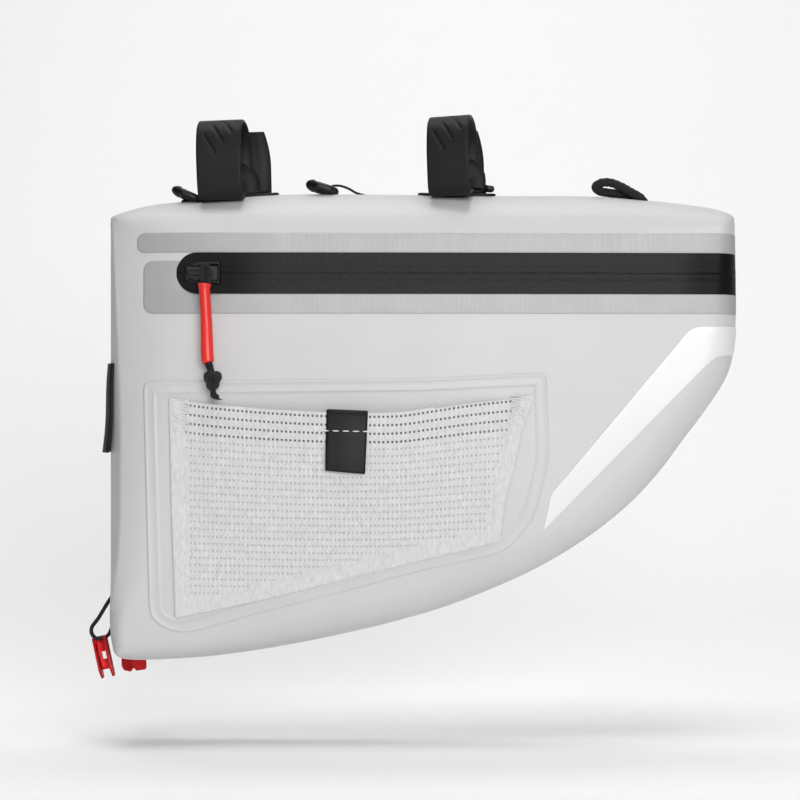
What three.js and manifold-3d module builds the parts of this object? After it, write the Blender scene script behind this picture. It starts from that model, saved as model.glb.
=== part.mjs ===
// A welded bicycle frame bag that hangs under a top tube on two strap loops. Millimetres, +Z up, +X to the
// front of the bicycle, the panel with the zip faces -Y. The origin is on the top tube's axis, midway
// between the two loops.
import * as THREE from "three";
import { mergeVertices } from "three/addons/utils/BufferGeometryUtils.js";
import Module from "manifold-3d";

const wasm = await Module();
wasm.setup();

// Body
const BODY_LENGTH = 374.7;
const BODY_HEIGHT = 277.5;
const TAIL_BEHIND_ORIGIN = 141;
const RIDGE_BELOW_AXIS = 22.8;
const HALF_WIDTH_TAIL = 27;
const HALF_WIDTH_NOSE = 21;
const PANEL_DOME = 4.5;
const CROWN_FALL = 16.2;
const SHOULDER_BELOW_RIDGE = 14.2;
const EDGE_ROUND = 30;
const WALL = 1.6;
const CLEARANCE = 0.3;

// Welded sheets on the panel
const FACING_THICK = 1;
const FACING_WIDTH = 11.7;
const FACING_START = 19.2;
const PATCH_START = 23.2;
const PATCH_ABOVE_SEAM = 7.3;
const ZIP_SEAM_BELOW_RIDGE = 48.8;
const ZIP_HALF_WIDTH = 11.9;
const ZIP_START = 42.6;
const ZIP_THICK = 1.2;
const ZIP_SUNK = 0.2;
const NOSE_WRAP = 6;
const STRIPE_THICK = 0.8;

// Slider, its pull and the knot
const SLIDER_LENGTH = 21.5;
const SLIDER_WIDTH = 13;
const SLIDER_THICK = 3.1;
const SLIDER_FROM_ZIP_START = 4.5;
const BRIDGE_WIDTH = 4;
const BRIDGE_LENGTH = 13;
const BRIDGE_RISE = 5.5;
const BRIDGE_BAR = 1.6;
const PULL_CORD = 4.4;
const SLEEVE = 6.9;
const SLEEVE_LENGTH = 46;
const SLEEVE_FROM_CORD_START = 6.2;
const KNOT_WIDTH = 10.8;
const KNOT_HEIGHT = 12.5;
const KNOT_TAIL = 8;

// Mesh pocket
const POCKET_WIDTH = 212.9;
const POCKET_DEPTH = 128.8;
const POCKET_BELOW_RIDGE = 121.8;
const POCKET_FROM_TAIL = 38.8;
const MESH_THICK = 1;
const MESH_BORDER = 10;
const POCKET_SLACK = 6.5;
const TAB_WIDTH = 24;
const TAB_LENGTH = 35.5;
const TAB_THICK = 1;
const TAB_INNER_LEG = 12;

// Strap loops
const STRAP_SPACING = 132.4;
const STRAP_WIDTH = 26;
const STRAP_THICK = 2;
const STRAP_SKEW = 13;
const LOOP_HEIGHT = 45.8;
const LOOP_HALF_DEPTH = 22.8;
const BASE_THICK = 1.2;
const BASE_HALF_WIDTH = 12;
const FOOT_HALF_WIDTH = 16;

// Small fittings
const TOGGLE_LENGTH = 19.6;
const TOGGLE_WIDTH = 12;
const TOGGLE_THICK = 5.6;
const TOGGLE_REAR_BEHIND_LOOP = 29.4;
const TOGGLE_MIDDLE_BEHIND_ORIGIN = 16;
const TOGGLE_FRONT_BEFORE_LOOP = 17.8;
const TOGGLE_SEAT = 3.8;
const TOP_CORD = 1.5;
const LOOP_CORD = 4.5;
const SIDE_TAB_WIDTH = 25;
const SIDE_TAB_LENGTH = 53;
const SIDE_TAB_THICK = 1.6;
const SIDE_TAB_FLARE = 3;
const SIDE_TAB_BELOW_RIDGE = 101.4;
const HOOK_LENGTH = 27;
const HOOK_WIDTH = 8.5;
const HOOK_DEPTH = 9;
const HOOK_WALL = 1.2;
const HOOK_CORD = 2.4;
const HOOK_EYE_BELOW_TOP = 4.5;
const EYE_CLEARANCE = 0.4;

// Places that follow from the sizes
const TAIL_X = -TAIL_BEHIND_ORIGIN;
const NOSE_X = TAIL_X + BODY_LENGTH;
const RIDGE_Z = -RIDGE_BELOW_AXIS;
const SHOULDER_Z = RIDGE_Z - SHOULDER_BELOW_RIDGE;
const SEAM_Z = RIDGE_Z - ZIP_SEAM_BELOW_RIDGE;
const OUT_OF_REACH = BODY_LENGTH;
const ARC_STEPS = 4;

// Ridge from tail to nose: share of the body's length, share of the crown's fall
const RIDGE = [
  [0, 0.84],
  [0.0625, 0.426],
  [0.1057, 0.302],
  [0.1585, 0.241],
  [0.2226, 0.074],
  [0.2882, 0],
  [0.639, 0.056],
  [0.7734, 0.074],
  [0.8535, 0.21],
  [0.9047, 0.327],
  [0.9624, 0.519],
  [0.9848, 0.691],
  [1, 1],
];

// Edge from the tail's top, round the belly, to the nose's top: share of the body's length, share of its
// height below the ridge, share of the edge's full rounding
const EDGE = [
  [0, 0.05, 0.55],
  [0, 0.29, 0.8],
  [0, 0.783, 0.8],
  [0.0016, 0.862, 0.7],
  [0.0056, 0.927, 0.6],
  [0.016, 0.9737, 0.55],
  [0.0334, 0.995, 0.6],
  [0.0544, 1, 0.7],
  [0.1297, 0.998, 0.9],
  [0.2466, 0.9795, 1],
  [0.3795, 0.9449, 1],
  [0.4836, 0.9103, 1],
  [0.5637, 0.8757, 1],
  [0.6822, 0.8065, 1],
  [0.767, 0.7373, 1],
  [0.8311, 0.6681, 1],
  [0.8791, 0.5989, 1],
  [0.9175, 0.5297, 0.95],
  [0.956, 0.4605, 0.85],
  [0.988, 0.3914, 0.75],
  [1, 0.3243, 0.67],
  [1, 0.0584, 0.4],
];
const FIRST_BELLY_ROW = 2;
const LAST_BELLY_ROW = 20;
const STEPS_PER_ROW = 6;

// Outline of the pocket's welded frame: share of the pocket's width, share of its depth
const FRAME = [
  [-0.073, 0.073],
  [0.687, 0.087],
  [1.034, 0.115],
  [1.042, -0.28],
  [1.001, -0.551],
  [0.925, -0.696],
  [0.859, -0.727],
  [0.687, -0.786],
  [0.468, -0.885],
  [0.249, -0.975],
  [0.118, -1.039],
  [0.047, -1.066],
  [0.003, -1.057],
  [-0.029, -1.029],
  [-0.051, -0.994],
  [-0.057, -0.94],
  [-0.065, -0.416],
  [-0.071, -0.054],
];

// Outline of the mesh: share of the pocket's width, share of its depth
const MESH = [
  [0, 0],
  [0.044, -0.014],
  [0.224, -0.045],
  [0.422, -0.064],
  [0.545, -0.067],
  [0.632, -0.064],
  [0.714, -0.045],
  [0.823, -0.018],
  [1, 0.013],
  [0.967, -0.154],
  [0.951, -0.28],
  [0.926, -0.428],
  [0.905, -0.655],
  [0.687, -0.739],
  [0.469, -0.829],
  [0.251, -0.919],
  [0.016, -1],
  [0.006, -0.505],
];
const MESH_LEFT = 0.01;
const MESH_RIGHT = 0.96;
const MESH_TOP = -0.03;
const MESH_LOW_LEFT = -1;
const MESH_LOW_RIGHT = -0.655;
const TAB_PLACE = 0.489;
const TAB_TOP = -0.055;

// Reflective stripe: share of the body's length, share of its height below the ridge
const STRIPE = [
  [0.6882, 0.72],
  [0.7003, 0.6425],
  [0.7112, 0.6256],
  [0.9226, 0.288],
  [1.04, 0.288],
  [1.04, 0.3485],
  [0.9613, 0.3492],
];

// Strap halves round the tube: share of the loop's half depth, share of its height over the ridge
const NEAR_HALF = [
  [-0.66, -0.05],
  [-0.8, 0],
  [-0.93, 0.15],
  [-0.985, 0.33],
  [-1, 0.5],
  [-0.96, 0.68],
  [-0.82, 0.86],
  [-0.55, 0.965],
  [-0.2, 1],
  [0.2, 0.985],
  [0.55, 0.92],
  [0.78, 0.79],
  [0.875, 0.63],
  [0.895, 0.48],
  [0.87, 0.33],
];
const FAR_HALF = [
  [0.66, -0.05],
  [0.82, 0],
  [0.97, 0.15],
  [1.02, 0.33],
  [1.03, 0.5],
  [1, 0.68],
  [0.94, 0.83],
  [0.89, 0.92],
];
const STRAP_STEPS = 22;

// Loops: name, side of the origin, tilt in degrees, base's reach behind and before the loop's centre
const LOOPS = [
  { name: "rear", side: -1, tilt: 3.5, behind: 33, before: 26 },
  { name: "front", side: 1, tilt: 1.8, behind: 23, before: 24 },
];

// Cord routes, chosen by hand
const LOOP_CORD_ROUTE = [
  [181, -2.6, -24.6],
  [172, -2.6, -20.7],
  [164, -2, -16.8],
  [156.5, -1, -14.9],
  [150.6, -0.3, -16],
  [148.8, 0.3, -18.3],
  [150.8, 1, -20.6],
  [156, 1.8, -21.3],
  [164, 2.4, -21.9],
  [172, 2.6, -22.8],
  [181, 2.7, -24.5],
];
const TOP_CORD_ROUTE = [
  [21, 16.8, -30.4],
  [18.5, 12.5, -25.7],
  [14.5, 7, -23.3],
  [10.5, 3, -22.5],
  [6, 1, -21.4],
  [1.6, 0.2, -19],
  [-3, 0, -17.4],
  [-6.2, 0, -16.9],
];
const REAR_HOOK_CORD_ROUTE = [
  [-140, 10.7, -262],
  [-144, 7, -268],
  [-149, 2.5, -277],
  [-152.6, 0, -284],
  [-152.6, -0.5, -289],
  [-150.5, -0.5, -291.7],
  [-147.8, -0.5, -292.2],
  [-145, -0.5, -292.2],
  [-142.6, 0.5, -290],
  [-141.2, 3, -285],
  [-139.4, 7.3, -278.6],
];
const FAR_HOOK_CORD_ROUTE = [
  [-133.3, 21.2, -262],
  [-137.5, 28, -270],
  [-139.5, 33, -279],
  [-139.8, 35.5, -286],
  [-138.4, 36.6, -290.5],
  [-135.5, 37.2, -292.2],
  [-132, 38.2, -292.2],
  [-129.4, 38.2, -289.5],
  [-127.7, 36, -283],
  [-126.7, 31, -276],
  [-126.2, 26.8, -270],
];
const SLIDER_CORD_ROUTE = [
  [-79.8, -36.6, -72.2],
  [-80.3, -36.6, -76],
  [-80.6, -36.6, -80],
  [-80.1, -36.6, -90],
  [-79.5, -36.6, -102],
  [-79.2, -36.8, -114],
  [-78.8, -37, -122],
  [-77.4, -37.4, -127.2],
];

const colours = {
  skin: new THREE.MeshStandardMaterial({ color: 0xcfd0d1, roughness: 0.55 }),
  facing: new THREE.MeshStandardMaterial({ color: 0xb0b1b2, roughness: 0.6 }),
  tape: new THREE.MeshStandardMaterial({ color: 0x2b2b2d, roughness: 0.6 }),
  plastic: new THREE.MeshStandardMaterial({ color: 0x242426, roughness: 0.45 }),
  strap: new THREE.MeshStandardMaterial({ color: 0x2c2c2e, roughness: 0.5 }),
  cord: new THREE.MeshStandardMaterial({ color: 0x1d1d1f, roughness: 0.8 }),
  sleeve: new THREE.MeshStandardMaterial({ color: 0xe23a30, roughness: 0.4 }),
  mesh: new THREE.MeshStandardMaterial({ color: 0xe2e2e2, roughness: 0.8 }),
  stripe: new THREE.MeshStandardMaterial({ color: 0xf6f6f6, roughness: 0.4 }),
  anodised: new THREE.MeshStandardMaterial({
    color: 0xc4221c,
    roughness: 0.35,
    metalness: 0.8,
  }),
};

const bag = new THREE.Group();
bag.name = "bicycle_frame_bag";

// A closed geometry as a solid.
function solidOf(geometry) {
  const bare = geometry.index ? geometry.toNonIndexed() : geometry.clone();
  bare.deleteAttribute("normal");
  bare.deleteAttribute("uv");
  const merged = mergeVertices(bare, 1e-4);
  return new wasm.Manifold(
    new wasm.Mesh({
      numProp: 3,
      vertProperties: merged.attributes.position.array,
      triVerts: new Uint32Array(merged.index.array),
    }),
  );
}

function geometryOf(solid) {
  const mesh = solid.getMesh();
  const geometry = new THREE.BufferGeometry();
  geometry.setAttribute(
    "position",
    new THREE.BufferAttribute(new Float32Array(mesh.vertProperties), 3),
  );
  geometry.setIndex(new THREE.BufferAttribute(new Uint32Array(mesh.triVerts), 1));
  return geometry;
}

function addPiece(name, solid, material) {
  const mesh = new THREE.Mesh(geometryOf(solid), material);
  mesh.name = name;
  bag.add(mesh);
}

// Outline curves of the body
const lengthShare = (share) => TAIL_X + share * BODY_LENGTH;
const heightShare = (share) => RIDGE_Z - share * BODY_HEIGHT;

const ridgeLine = new THREE.CatmullRomCurve3(
  RIDGE.map(
    ([x, fall]) =>
      new THREE.Vector3(lengthShare(x), RIDGE_Z - fall * CROWN_FALL, 0),
  ),
  false,
  "centripetal",
).getPoints((RIDGE.length - 1) * STEPS_PER_ROW);

const edgeLine = new THREE.CatmullRomCurve3(
  EDGE.map(
    ([x, z, round]) =>
      new THREE.Vector3(lengthShare(x), heightShare(z), round * EDGE_ROUND),
  ),
  false,
  "centripetal",
).getPoints((EDGE.length - 1) * STEPS_PER_ROW);
const bellyLine = edgeLine.slice(
  FIRST_BELLY_ROW * STEPS_PER_ROW,
  LAST_BELLY_ROW * STEPS_PER_ROW + 1,
);

// Height of a line that runs from low to high x.
function heightAt(line, x) {
  const last = line.findIndex((p) => p.x >= x);
  if (last <= 0) return line[last < 0 ? line.length - 1 : 0].y;
  const from = line[last - 1];
  const to = line[last];
  return from.y + ((to.y - from.y) * (x - from.x)) / (to.x - from.x);
}

// Distance from the nearest point of the edge, and how far the edge is rounded there.
function nearestEdge(x, z) {
  let best = { distance: Infinity, round: EDGE_ROUND };
  for (let i = 1; i < edgeLine.length; i++) {
    const from = edgeLine[i - 1];
    const to = edgeLine[i];
    const dx = to.x - from.x;
    const dz = to.y - from.y;
    const along = ((x - from.x) * dx + (z - from.y) * dz) / (dx * dx + dz * dz);
    const t = THREE.MathUtils.clamp(along, 0, 1);
    const distance = Math.hypot(x - from.x - t * dx, z - from.y - t * dz);
    if (distance < best.distance)
      best = { distance, round: THREE.MathUtils.lerp(from.z, to.z, t) };
  }
  return best;
}

// Quarter ellipse: 0 at the edge, 1 once the rounding is done.
function roundOff(distance, round) {
  const left = THREE.MathUtils.clamp(1 - distance / round, 0, 1);
  return Math.sqrt(1 - left * left);
}

// How far the crown reaches down the panel before it is flat: an ellipse that meets the shoulder line.
function crownReach(x) {
  const rise = heightAt(ridgeLine, x) - SHOULDER_Z;
  return Math.max(2.45 * rise, 6);
}

// Half the body's width at a point of its side view.
function halfWidth(x, z) {
  const top = heightAt(ridgeLine, x);
  const bottom = heightAt(bellyLine, x);
  const u = THREE.MathUtils.clamp((x - TAIL_X) / BODY_LENGTH, 0, 1);
  const v = THREE.MathUtils.clamp((z - bottom) / (top - bottom), 0, 1);
  const flat = THREE.MathUtils.lerp(HALF_WIDTH_TAIL, HALF_WIDTH_NOSE, u);
  const dome = PANEL_DOME * Math.sin(Math.PI * u) * Math.sin(Math.PI * v);
  const edge = nearestEdge(x, z);
  return (
    (flat + dome) *
    roundOff(top - z, crownReach(x)) *
    roundOff(edge.distance, edge.round)
  );
}

// Stations that crowd towards both ends, where the surface turns.
function stations(from, to, startBand, endBand, startCells, midCells, endCells) {
  const places = [];
  for (let i = 0; i < startCells; i++)
    places.push(from + startBand * (1 - Math.cos((i / startCells) * 0.5 * Math.PI)));
  for (let i = 0; i <= midCells; i++)
    places.push(
      THREE.MathUtils.lerp(from + startBand, to - endBand, i / midCells),
    );
  for (let i = endCells - 1; i >= 0; i--)
    places.push(to - endBand * (1 - Math.cos((i / endCells) * 0.5 * Math.PI)));
  return places;
}

const TAIL_BAND = 22;
const NOSE_BAND = 20;
const columns = stations(TAIL_X, NOSE_X, TAIL_BAND, NOSE_BAND, 4, 15, 4);

// The body's surface as columns of points, front and back, with the normal at each.
function skinGrid() {
  const rows = [];
  for (const x of columns) {
    const top = heightAt(ridgeLine, x);
    const bottom = heightAt(bellyLine, x);
    const height = top - bottom;
    const ahead = heightAt(bellyLine, x + 2) - heightAt(bellyLine, x - 2);
    const slope = x < TAIL_X + TAIL_BAND ? 0 : ahead / 4;
    const lowBand = Math.min(
      EDGE_ROUND * Math.hypot(1, slope),
      0.45 * height,
    );
    const highBand = Math.min(crownReach(x), 0.4 * height);
    rows.push(stations(bottom, top, lowBand, highBand, 4, 9, 4));
  }
  return rows;
}
const grid = skinGrid();
const ROWS = grid[0].length;

function skinGeometry() {
  const points = [];
  const faces = [];
  for (const side of [-1, 1])
    columns.forEach((x, i) =>
      grid[i].forEach((z, j) => {
        const atEdge =
          i === 0 || i === columns.length - 1 || j === 0 || j === ROWS - 1;
        points.push(x, atEdge ? 0 : side * halfWidth(x, z), z);
      }),
    );
  const place = (side, i, j) =>
    (side > 0 ? columns.length * ROWS : 0) + i * ROWS + j;
  for (const side of [-1, 1])
    for (let i = 0; i + 1 < columns.length; i++)
      for (let j = 0; j + 1 < ROWS; j++) {
        const a = place(side, i, j);
        const b = place(side, i + 1, j);
        const c = place(side, i + 1, j + 1);
        const d = place(side, i, j + 1);
        if (side < 0) faces.push(a, b, c, a, c, d);
        else faces.push(a, c, b, a, d, c);
      }
  const geometry = new THREE.BufferGeometry();
  geometry.setAttribute("position", new THREE.Float32BufferAttribute(points, 3));
  geometry.setIndex(faces);
  const merged = mergeVertices(geometry, 1e-4);
  merged.computeVertexNormals();
  return merged;
}
const skin = skinGeometry();

// The skin moved out by a distance, which may be a number or a function of x and z.
function offsetSkin(distance) {
  const moved = skin.clone();
  const place = moved.attributes.position;
  const normal = skin.attributes.normal;
  for (let i = 0; i < place.count; i++) {
    const by =
      typeof distance === "function"
        ? distance(place.getX(i), place.getZ(i))
        : distance;
    place.setXYZ(
      i,
      place.getX(i) + by * normal.getX(i),
      place.getY(i) + by * normal.getY(i),
      place.getZ(i) + by * normal.getZ(i),
    );
  }
  return moved;
}

function layer(inner, outer) {
  return solidOf(offsetSkin(outer)).subtract(solidOf(offsetSkin(inner)));
}

// Outlines in the side view, in the top view and across the body, pushed through it
const plane = (points) =>
  new THREE.Shape(points.map(([a, b]) => new THREE.Vector2(a, b)));

function throughY(shape, near, far) {
  const geometry = new THREE.ExtrudeGeometry(shape, {
    depth: far - near,
    bevelEnabled: false,
    curveSegments: ARC_STEPS,
  });
  geometry.rotateX(Math.PI / 2);
  geometry.translate(0, far, 0);
  return solidOf(geometry);
}

function throughZ(shape, low, high) {
  const geometry = new THREE.ExtrudeGeometry(shape, {
    depth: high - low,
    bevelEnabled: false,
    curveSegments: ARC_STEPS,
  });
  geometry.translate(0, 0, low);
  return solidOf(geometry);
}

function acrossX(shape, from, to) {
  const geometry = new THREE.ExtrudeGeometry(shape, {
    depth: to - from,
    bevelEnabled: false,
    curveSegments: ARC_STEPS,
  });
  geometry.applyMatrix4(
    new THREE.Matrix4().makeBasis(
      new THREE.Vector3(0, 1, 0),
      new THREE.Vector3(0, 0, 1),
      new THREE.Vector3(1, 0, 0),
    ),
  );
  geometry.translate(from, 0, 0);
  return solidOf(geometry);
}

// Rounded rectangle, each corner with its own radius: low left, low right, high right, high left.
function roundedBox(left, right, low, high, radii) {
  const [a, b, c, d] = radii;
  const shape = new THREE.Shape();
  shape.moveTo(left + a, low);
  shape.lineTo(right - b, low);
  if (b) shape.absarc(right - b, low + b, b, -Math.PI / 2, 0);
  shape.lineTo(right, high - c);
  if (c) shape.absarc(right - c, high - c, c, 0, Math.PI / 2);
  shape.lineTo(left + d, high);
  if (d) shape.absarc(left + d, high - d, d, Math.PI / 2, Math.PI);
  shape.lineTo(left, low + a);
  if (a) shape.absarc(left + a, low + a, a, Math.PI, 1.5 * Math.PI);
  return shape;
}

function ring(radius, sides) {
  return Array.from({ length: sides }, (_, i) => {
    const turn = (2 * Math.PI * (i + 0.5)) / sides;
    return [radius * Math.cos(turn), radius * Math.sin(turn)];
  });
}

// A solid tube along points.
function tube(route, diameter, sides, steps) {
  const path = new THREE.CatmullRomCurve3(
    route.map((p) => new THREE.Vector3(...p)),
    false,
    "centripetal",
  );
  const shape = plane(ring(diameter / 2, sides));
  return solidOf(
    new THREE.ExtrudeGeometry(shape, { steps, extrudePath: path }),
  );
}

// A flat band whose middle follows points across the body, as an outline.
function bandOutline(points, thickness) {
  const left = [];
  const right = [];
  points.forEach((p, i) => {
    const before = points[Math.max(i - 1, 0)];
    const after = points[Math.min(i + 1, points.length - 1)];
    const run = new THREE.Vector2(after.x - before.x, after.y - before.y).normalize();
    left.push([p.x - (run.y * thickness) / 2, p.y + (run.x * thickness) / 2]);
    right.push([p.x + (run.y * thickness) / 2, p.y - (run.x * thickness) / 2]);
  });
  return plane([...right, ...left.reverse()]);
}

// Ends of the front panel's layers, counted outwards from the skin
const SHEET_IN = CLEARANCE;
const SHEET_OUT = SHEET_IN + FACING_THICK;
const MESH_IN = SHEET_OUT + CLEARANCE;
const BEYOND_NOSE = NOSE_X + EDGE_ROUND;

function addBody() {
  const zipWindow = throughY(
    roundedBox(
      TAIL_X + ZIP_START,
      BEYOND_NOSE,
      SEAM_Z - ZIP_HALF_WIDTH,
      SEAM_Z + ZIP_HALF_WIDTH,
      [ZIP_HALF_WIDTH, 0, 0, ZIP_HALF_WIDTH],
    ),
    -OUT_OF_REACH,
    NOSE_WRAP,
  );
  const walls = layer(-WALL, 0);
  addPiece("body_shell", walls.subtract(zipWindow), colours.skin);
}

function addZip() {
  const inside = ZIP_HALF_WIDTH - CLEARANCE;
  const tape = layer(-ZIP_SUNK - ZIP_THICK, -ZIP_SUNK);
  const halves = [
    ["zip_tape_upper", CLEARANCE / 2, inside, [0, 0, 0, inside - CLEARANCE]],
    ["zip_tape_lower", -inside, -CLEARANCE / 2, [inside - CLEARANCE, 0, 0, 0]],
  ];
  for (const [name, low, high, radii] of halves) {
    const outline = roundedBox(
      TAIL_X + ZIP_START + CLEARANCE,
      BEYOND_NOSE,
      SEAM_Z + low,
      SEAM_Z + high,
      radii,
    );
    const half = tape.intersect(
      throughY(outline, -OUT_OF_REACH, NOSE_WRAP - CLEARANCE),
    );
    addPiece(name, largest(half), colours.tape);
  }
}

// The largest body of a cut, where the cut also meets the far side.
function largest(solid) {
  return solid
    .decompose()
    .reduce((best, one) => (one.volume() > best.volume() ? one : best));
}

function panelPiece(name, outline, inner, outer, material, back = NOSE_WRAP) {
  const cut = layer(inner, outer).intersect(
    throughY(outline, -OUT_OF_REACH, back),
  );
  addPiece(name, largest(cut), material);
}

function addFacings() {
  const upperLow = SEAM_Z + ZIP_HALF_WIDTH + CLEARANCE;
  panelPiece(
    "facing_upper",
    roundedBox(
      TAIL_X + FACING_START,
      BEYOND_NOSE,
      upperLow,
      upperLow + FACING_WIDTH,
      [FACING_WIDTH / 2 - 1, 0, 0, FACING_WIDTH / 2 - 1],
    ),
    SHEET_IN,
    SHEET_OUT,
    colours.facing,
  );
  const lowerHigh = SEAM_Z - ZIP_HALF_WIDTH - CLEARANCE;
  const strip = throughY(
    roundedBox(
      TAIL_X + PATCH_START,
      BEYOND_NOSE,
      lowerHigh - FACING_WIDTH,
      SEAM_Z + PATCH_ABOVE_SEAM,
      [FACING_WIDTH / 2, 0, 0, FACING_WIDTH / 2],
    ),
    -OUT_OF_REACH,
    NOSE_WRAP,
  );
  const aroundZip = throughY(
    roundedBox(
      TAIL_X + ZIP_START - CLEARANCE,
      BEYOND_NOSE + 10,
      lowerHigh,
      SEAM_Z + ZIP_HALF_WIDTH + CLEARANCE,
      [ZIP_HALF_WIDTH, 0, 0, ZIP_HALF_WIDTH],
    ),
    -OUT_OF_REACH - 10,
    NOSE_WRAP + 10,
  );
  const lower = layer(SHEET_IN, SHEET_OUT).intersect(strip.subtract(aroundZip));
  addPiece("facing_lower", largest(lower), colours.facing);
}

function addStripe() {
  const outline = plane(
    STRIPE.map(([x, z]) => [lengthShare(x), heightShare(z)]),
  );
  panelPiece(
    "reflective_stripe",
    outline,
    SHEET_IN,
    SHEET_IN + STRIPE_THICK,
    colours.stripe,
  );
}

// Pocket
const pocketX = (share) => TAIL_X + POCKET_FROM_TAIL + share * POCKET_WIDTH;
const pocketZ = (share) => RIDGE_Z - POCKET_BELOW_RIDGE + share * POCKET_DEPTH;
const pocketOutline = (table) =>
  plane(table.map(([x, z]) => [pocketX(x), pocketZ(z)]));

// How far the mesh stands off its frame, inside the welded border.
function slack(x, z) {
  const left = pocketX(MESH_LEFT) + MESH_BORDER;
  const right = pocketX(MESH_RIGHT) - MESH_BORDER;
  const a = (x - left) / (right - left);
  if (a <= 0 || a >= 1) return 0;
  const low = pocketZ(THREE.MathUtils.lerp(MESH_LOW_LEFT, MESH_LOW_RIGHT, a));
  const b = (z - low - MESH_BORDER) / (pocketZ(MESH_TOP) - low - MESH_BORDER);
  if (b <= 0 || b >= 1.6) return 0;
  const rise = Math.sin(0.5 * Math.PI * Math.min(b / 0.7, 1));
  const fade = Math.min(1, (1.6 - b) / 0.35);
  return POCKET_SLACK * Math.pow(Math.sin(Math.PI * a), 0.8) * rise * fade;
}
const slackOver = (height) => (x, z) => height + slack(x, z);

function addPocket() {
  panelPiece(
    "pocket_frame",
    pocketOutline(FRAME),
    SHEET_IN,
    SHEET_OUT,
    colours.skin,
    0,
  );
  panelPiece(
    "mesh_pocket",
    pocketOutline(MESH),
    slackOver(MESH_IN),
    slackOver(MESH_IN + MESH_THICK),
    colours.mesh,
    0,
  );
}

function addPocketTab() {
  const middle = pocketX(TAB_PLACE);
  const top = pocketZ(TAB_TOP) + TAB_THICK + CLEARANCE;
  const fold = top - TAB_THICK;
  const sides = [middle - TAB_WIDTH / 2, middle + TAB_WIDTH / 2];
  const leg = (low, high) =>
    throughY(roundedBox(...sides, low, high, [0, 0, 0, 0]), -OUT_OF_REACH, 0);
  const outside = MESH_IN + MESH_THICK + CLEARANCE;
  const inside = MESH_IN - CLEARANCE;
  const front = layer(slackOver(outside), slackOver(outside + TAB_THICK));
  const back = layer(slackOver(inside - TAB_THICK), slackOver(inside));
  const over = layer(
    slackOver(inside - TAB_THICK),
    slackOver(outside + TAB_THICK),
  );
  const tab = front
    .intersect(leg(top - TAB_LENGTH, top))
    .add(over.intersect(leg(fold, top)))
    .add(back.intersect(leg(top - TAB_INNER_LEG, top)));
  addPiece("pocket_tab", tab, colours.strap);
}

// First point of a skin moved out by a distance that a ray meets.
const caster = new THREE.Raycaster();
function meet(distance, from, towards) {
  const target = new THREE.Mesh(
    offsetSkin(distance),
    new THREE.MeshBasicMaterial({ side: THREE.DoubleSide }),
  );
  caster.set(new THREE.Vector3(...from), new THREE.Vector3(...towards));
  return caster.intersectObject(target)[0].point;
}

function addSlider() {
  const left = TAIL_X + ZIP_START + SLIDER_FROM_ZIP_START;
  const right = left + SLIDER_LENGTH;
  const inner = CLEARANCE - ZIP_SUNK;
  const end = SLIDER_WIDTH / 2 - 0.5;
  const slab = layer(inner, inner + SLIDER_THICK).intersect(
    throughY(
      roundedBox(
        left,
        right,
        SEAM_Z - SLIDER_WIDTH / 2,
        SEAM_Z + SLIDER_WIDTH / 2,
        [end, 1, 1, end],
      ),
      -OUT_OF_REACH,
      0,
    ),
  );
  const bridgeLeft = left + (SLIDER_LENGTH - BRIDGE_LENGTH) / 2;
  const bridgeRight = bridgeLeft + BRIDGE_LENGTH;
  const base = meet(
    inner + SLIDER_THICK,
    [(bridgeLeft + bridgeRight) / 2, -OUT_OF_REACH, SEAM_Z],
    [0, 1, 0],
  ).y;
  const arch = roundedBox(
    bridgeLeft,
    bridgeRight,
    base - BRIDGE_RISE,
    base + 1,
    [BRIDGE_BAR * 1.5, BRIDGE_BAR * 1.5, 0, 0],
  );
  const under = roundedBox(
    bridgeLeft + BRIDGE_BAR,
    bridgeRight - BRIDGE_BAR,
    base - BRIDGE_RISE + BRIDGE_BAR,
    base + 2,
    [BRIDGE_BAR / 2, BRIDGE_BAR / 2, 0, 0],
  );
  const low = SEAM_Z + 0.2;
  const bridge = throughZ(arch, low, low + BRIDGE_WIDTH).subtract(
    throughZ(under, low - 1, low + BRIDGE_WIDTH + 1),
  );
  addPiece("zip_slider", slab.add(bridge), colours.plastic);
}

function stretchedBall(centre, size, sides, rings) {
  const ball = new THREE.SphereGeometry(0.5, sides, rings);
  ball.rotateX(Math.PI / 2);
  ball.scale(...size);
  ball.translate(...centre);
  return solidOf(ball);
}

function addPull() {
  const route = SLIDER_CORD_ROUTE;
  addPiece("pull_cord", tube(route, PULL_CORD, 8, 8), colours.cord);
  const curve = new THREE.CatmullRomCurve3(
    route.map((p) => new THREE.Vector3(...p)),
    false,
    "centripetal",
  );
  const total = curve.getLength();
  const sleeveRoute = [0, 0.25, 0.5, 0.75, 1].map((share) => {
    const along = (SLEEVE_FROM_CORD_START + share * SLEEVE_LENGTH) / total;
    return curve.getPointAt(Math.min(along, 1)).toArray();
  });
  const bore = tube(route, PULL_CORD + 2 * CLEARANCE, 8, 8);
  addPiece(
    "pull_sleeve",
    tube(sleeveRoute, SLEEVE, 12, 4).subtract(bore),
    colours.sleeve,
  );
  const end = route[route.length - 1];
  const knotCentre = [end[0] + 1.6, end[1], end[2] - KNOT_HEIGHT / 2 - 0.2];
  const tailTop = knotCentre[2] - KNOT_HEIGHT / 2 + 3;
  const tail = tube(
    [
      [knotCentre[0] - 0.5, end[1], tailTop],
      [knotCentre[0] - 0.3, end[1], tailTop - 0.6 * KNOT_TAIL],
      [knotCentre[0] + 1.4, end[1], tailTop - 3 - 0.7 * KNOT_TAIL],
    ],
    4,
    8,
    4,
  );
  const knot = stretchedBall(knotCentre, [KNOT_WIDTH, 9, KNOT_HEIGHT], 12, 8);
  addPiece("pull_knot", knot.add(tail), colours.cord);
}

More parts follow.
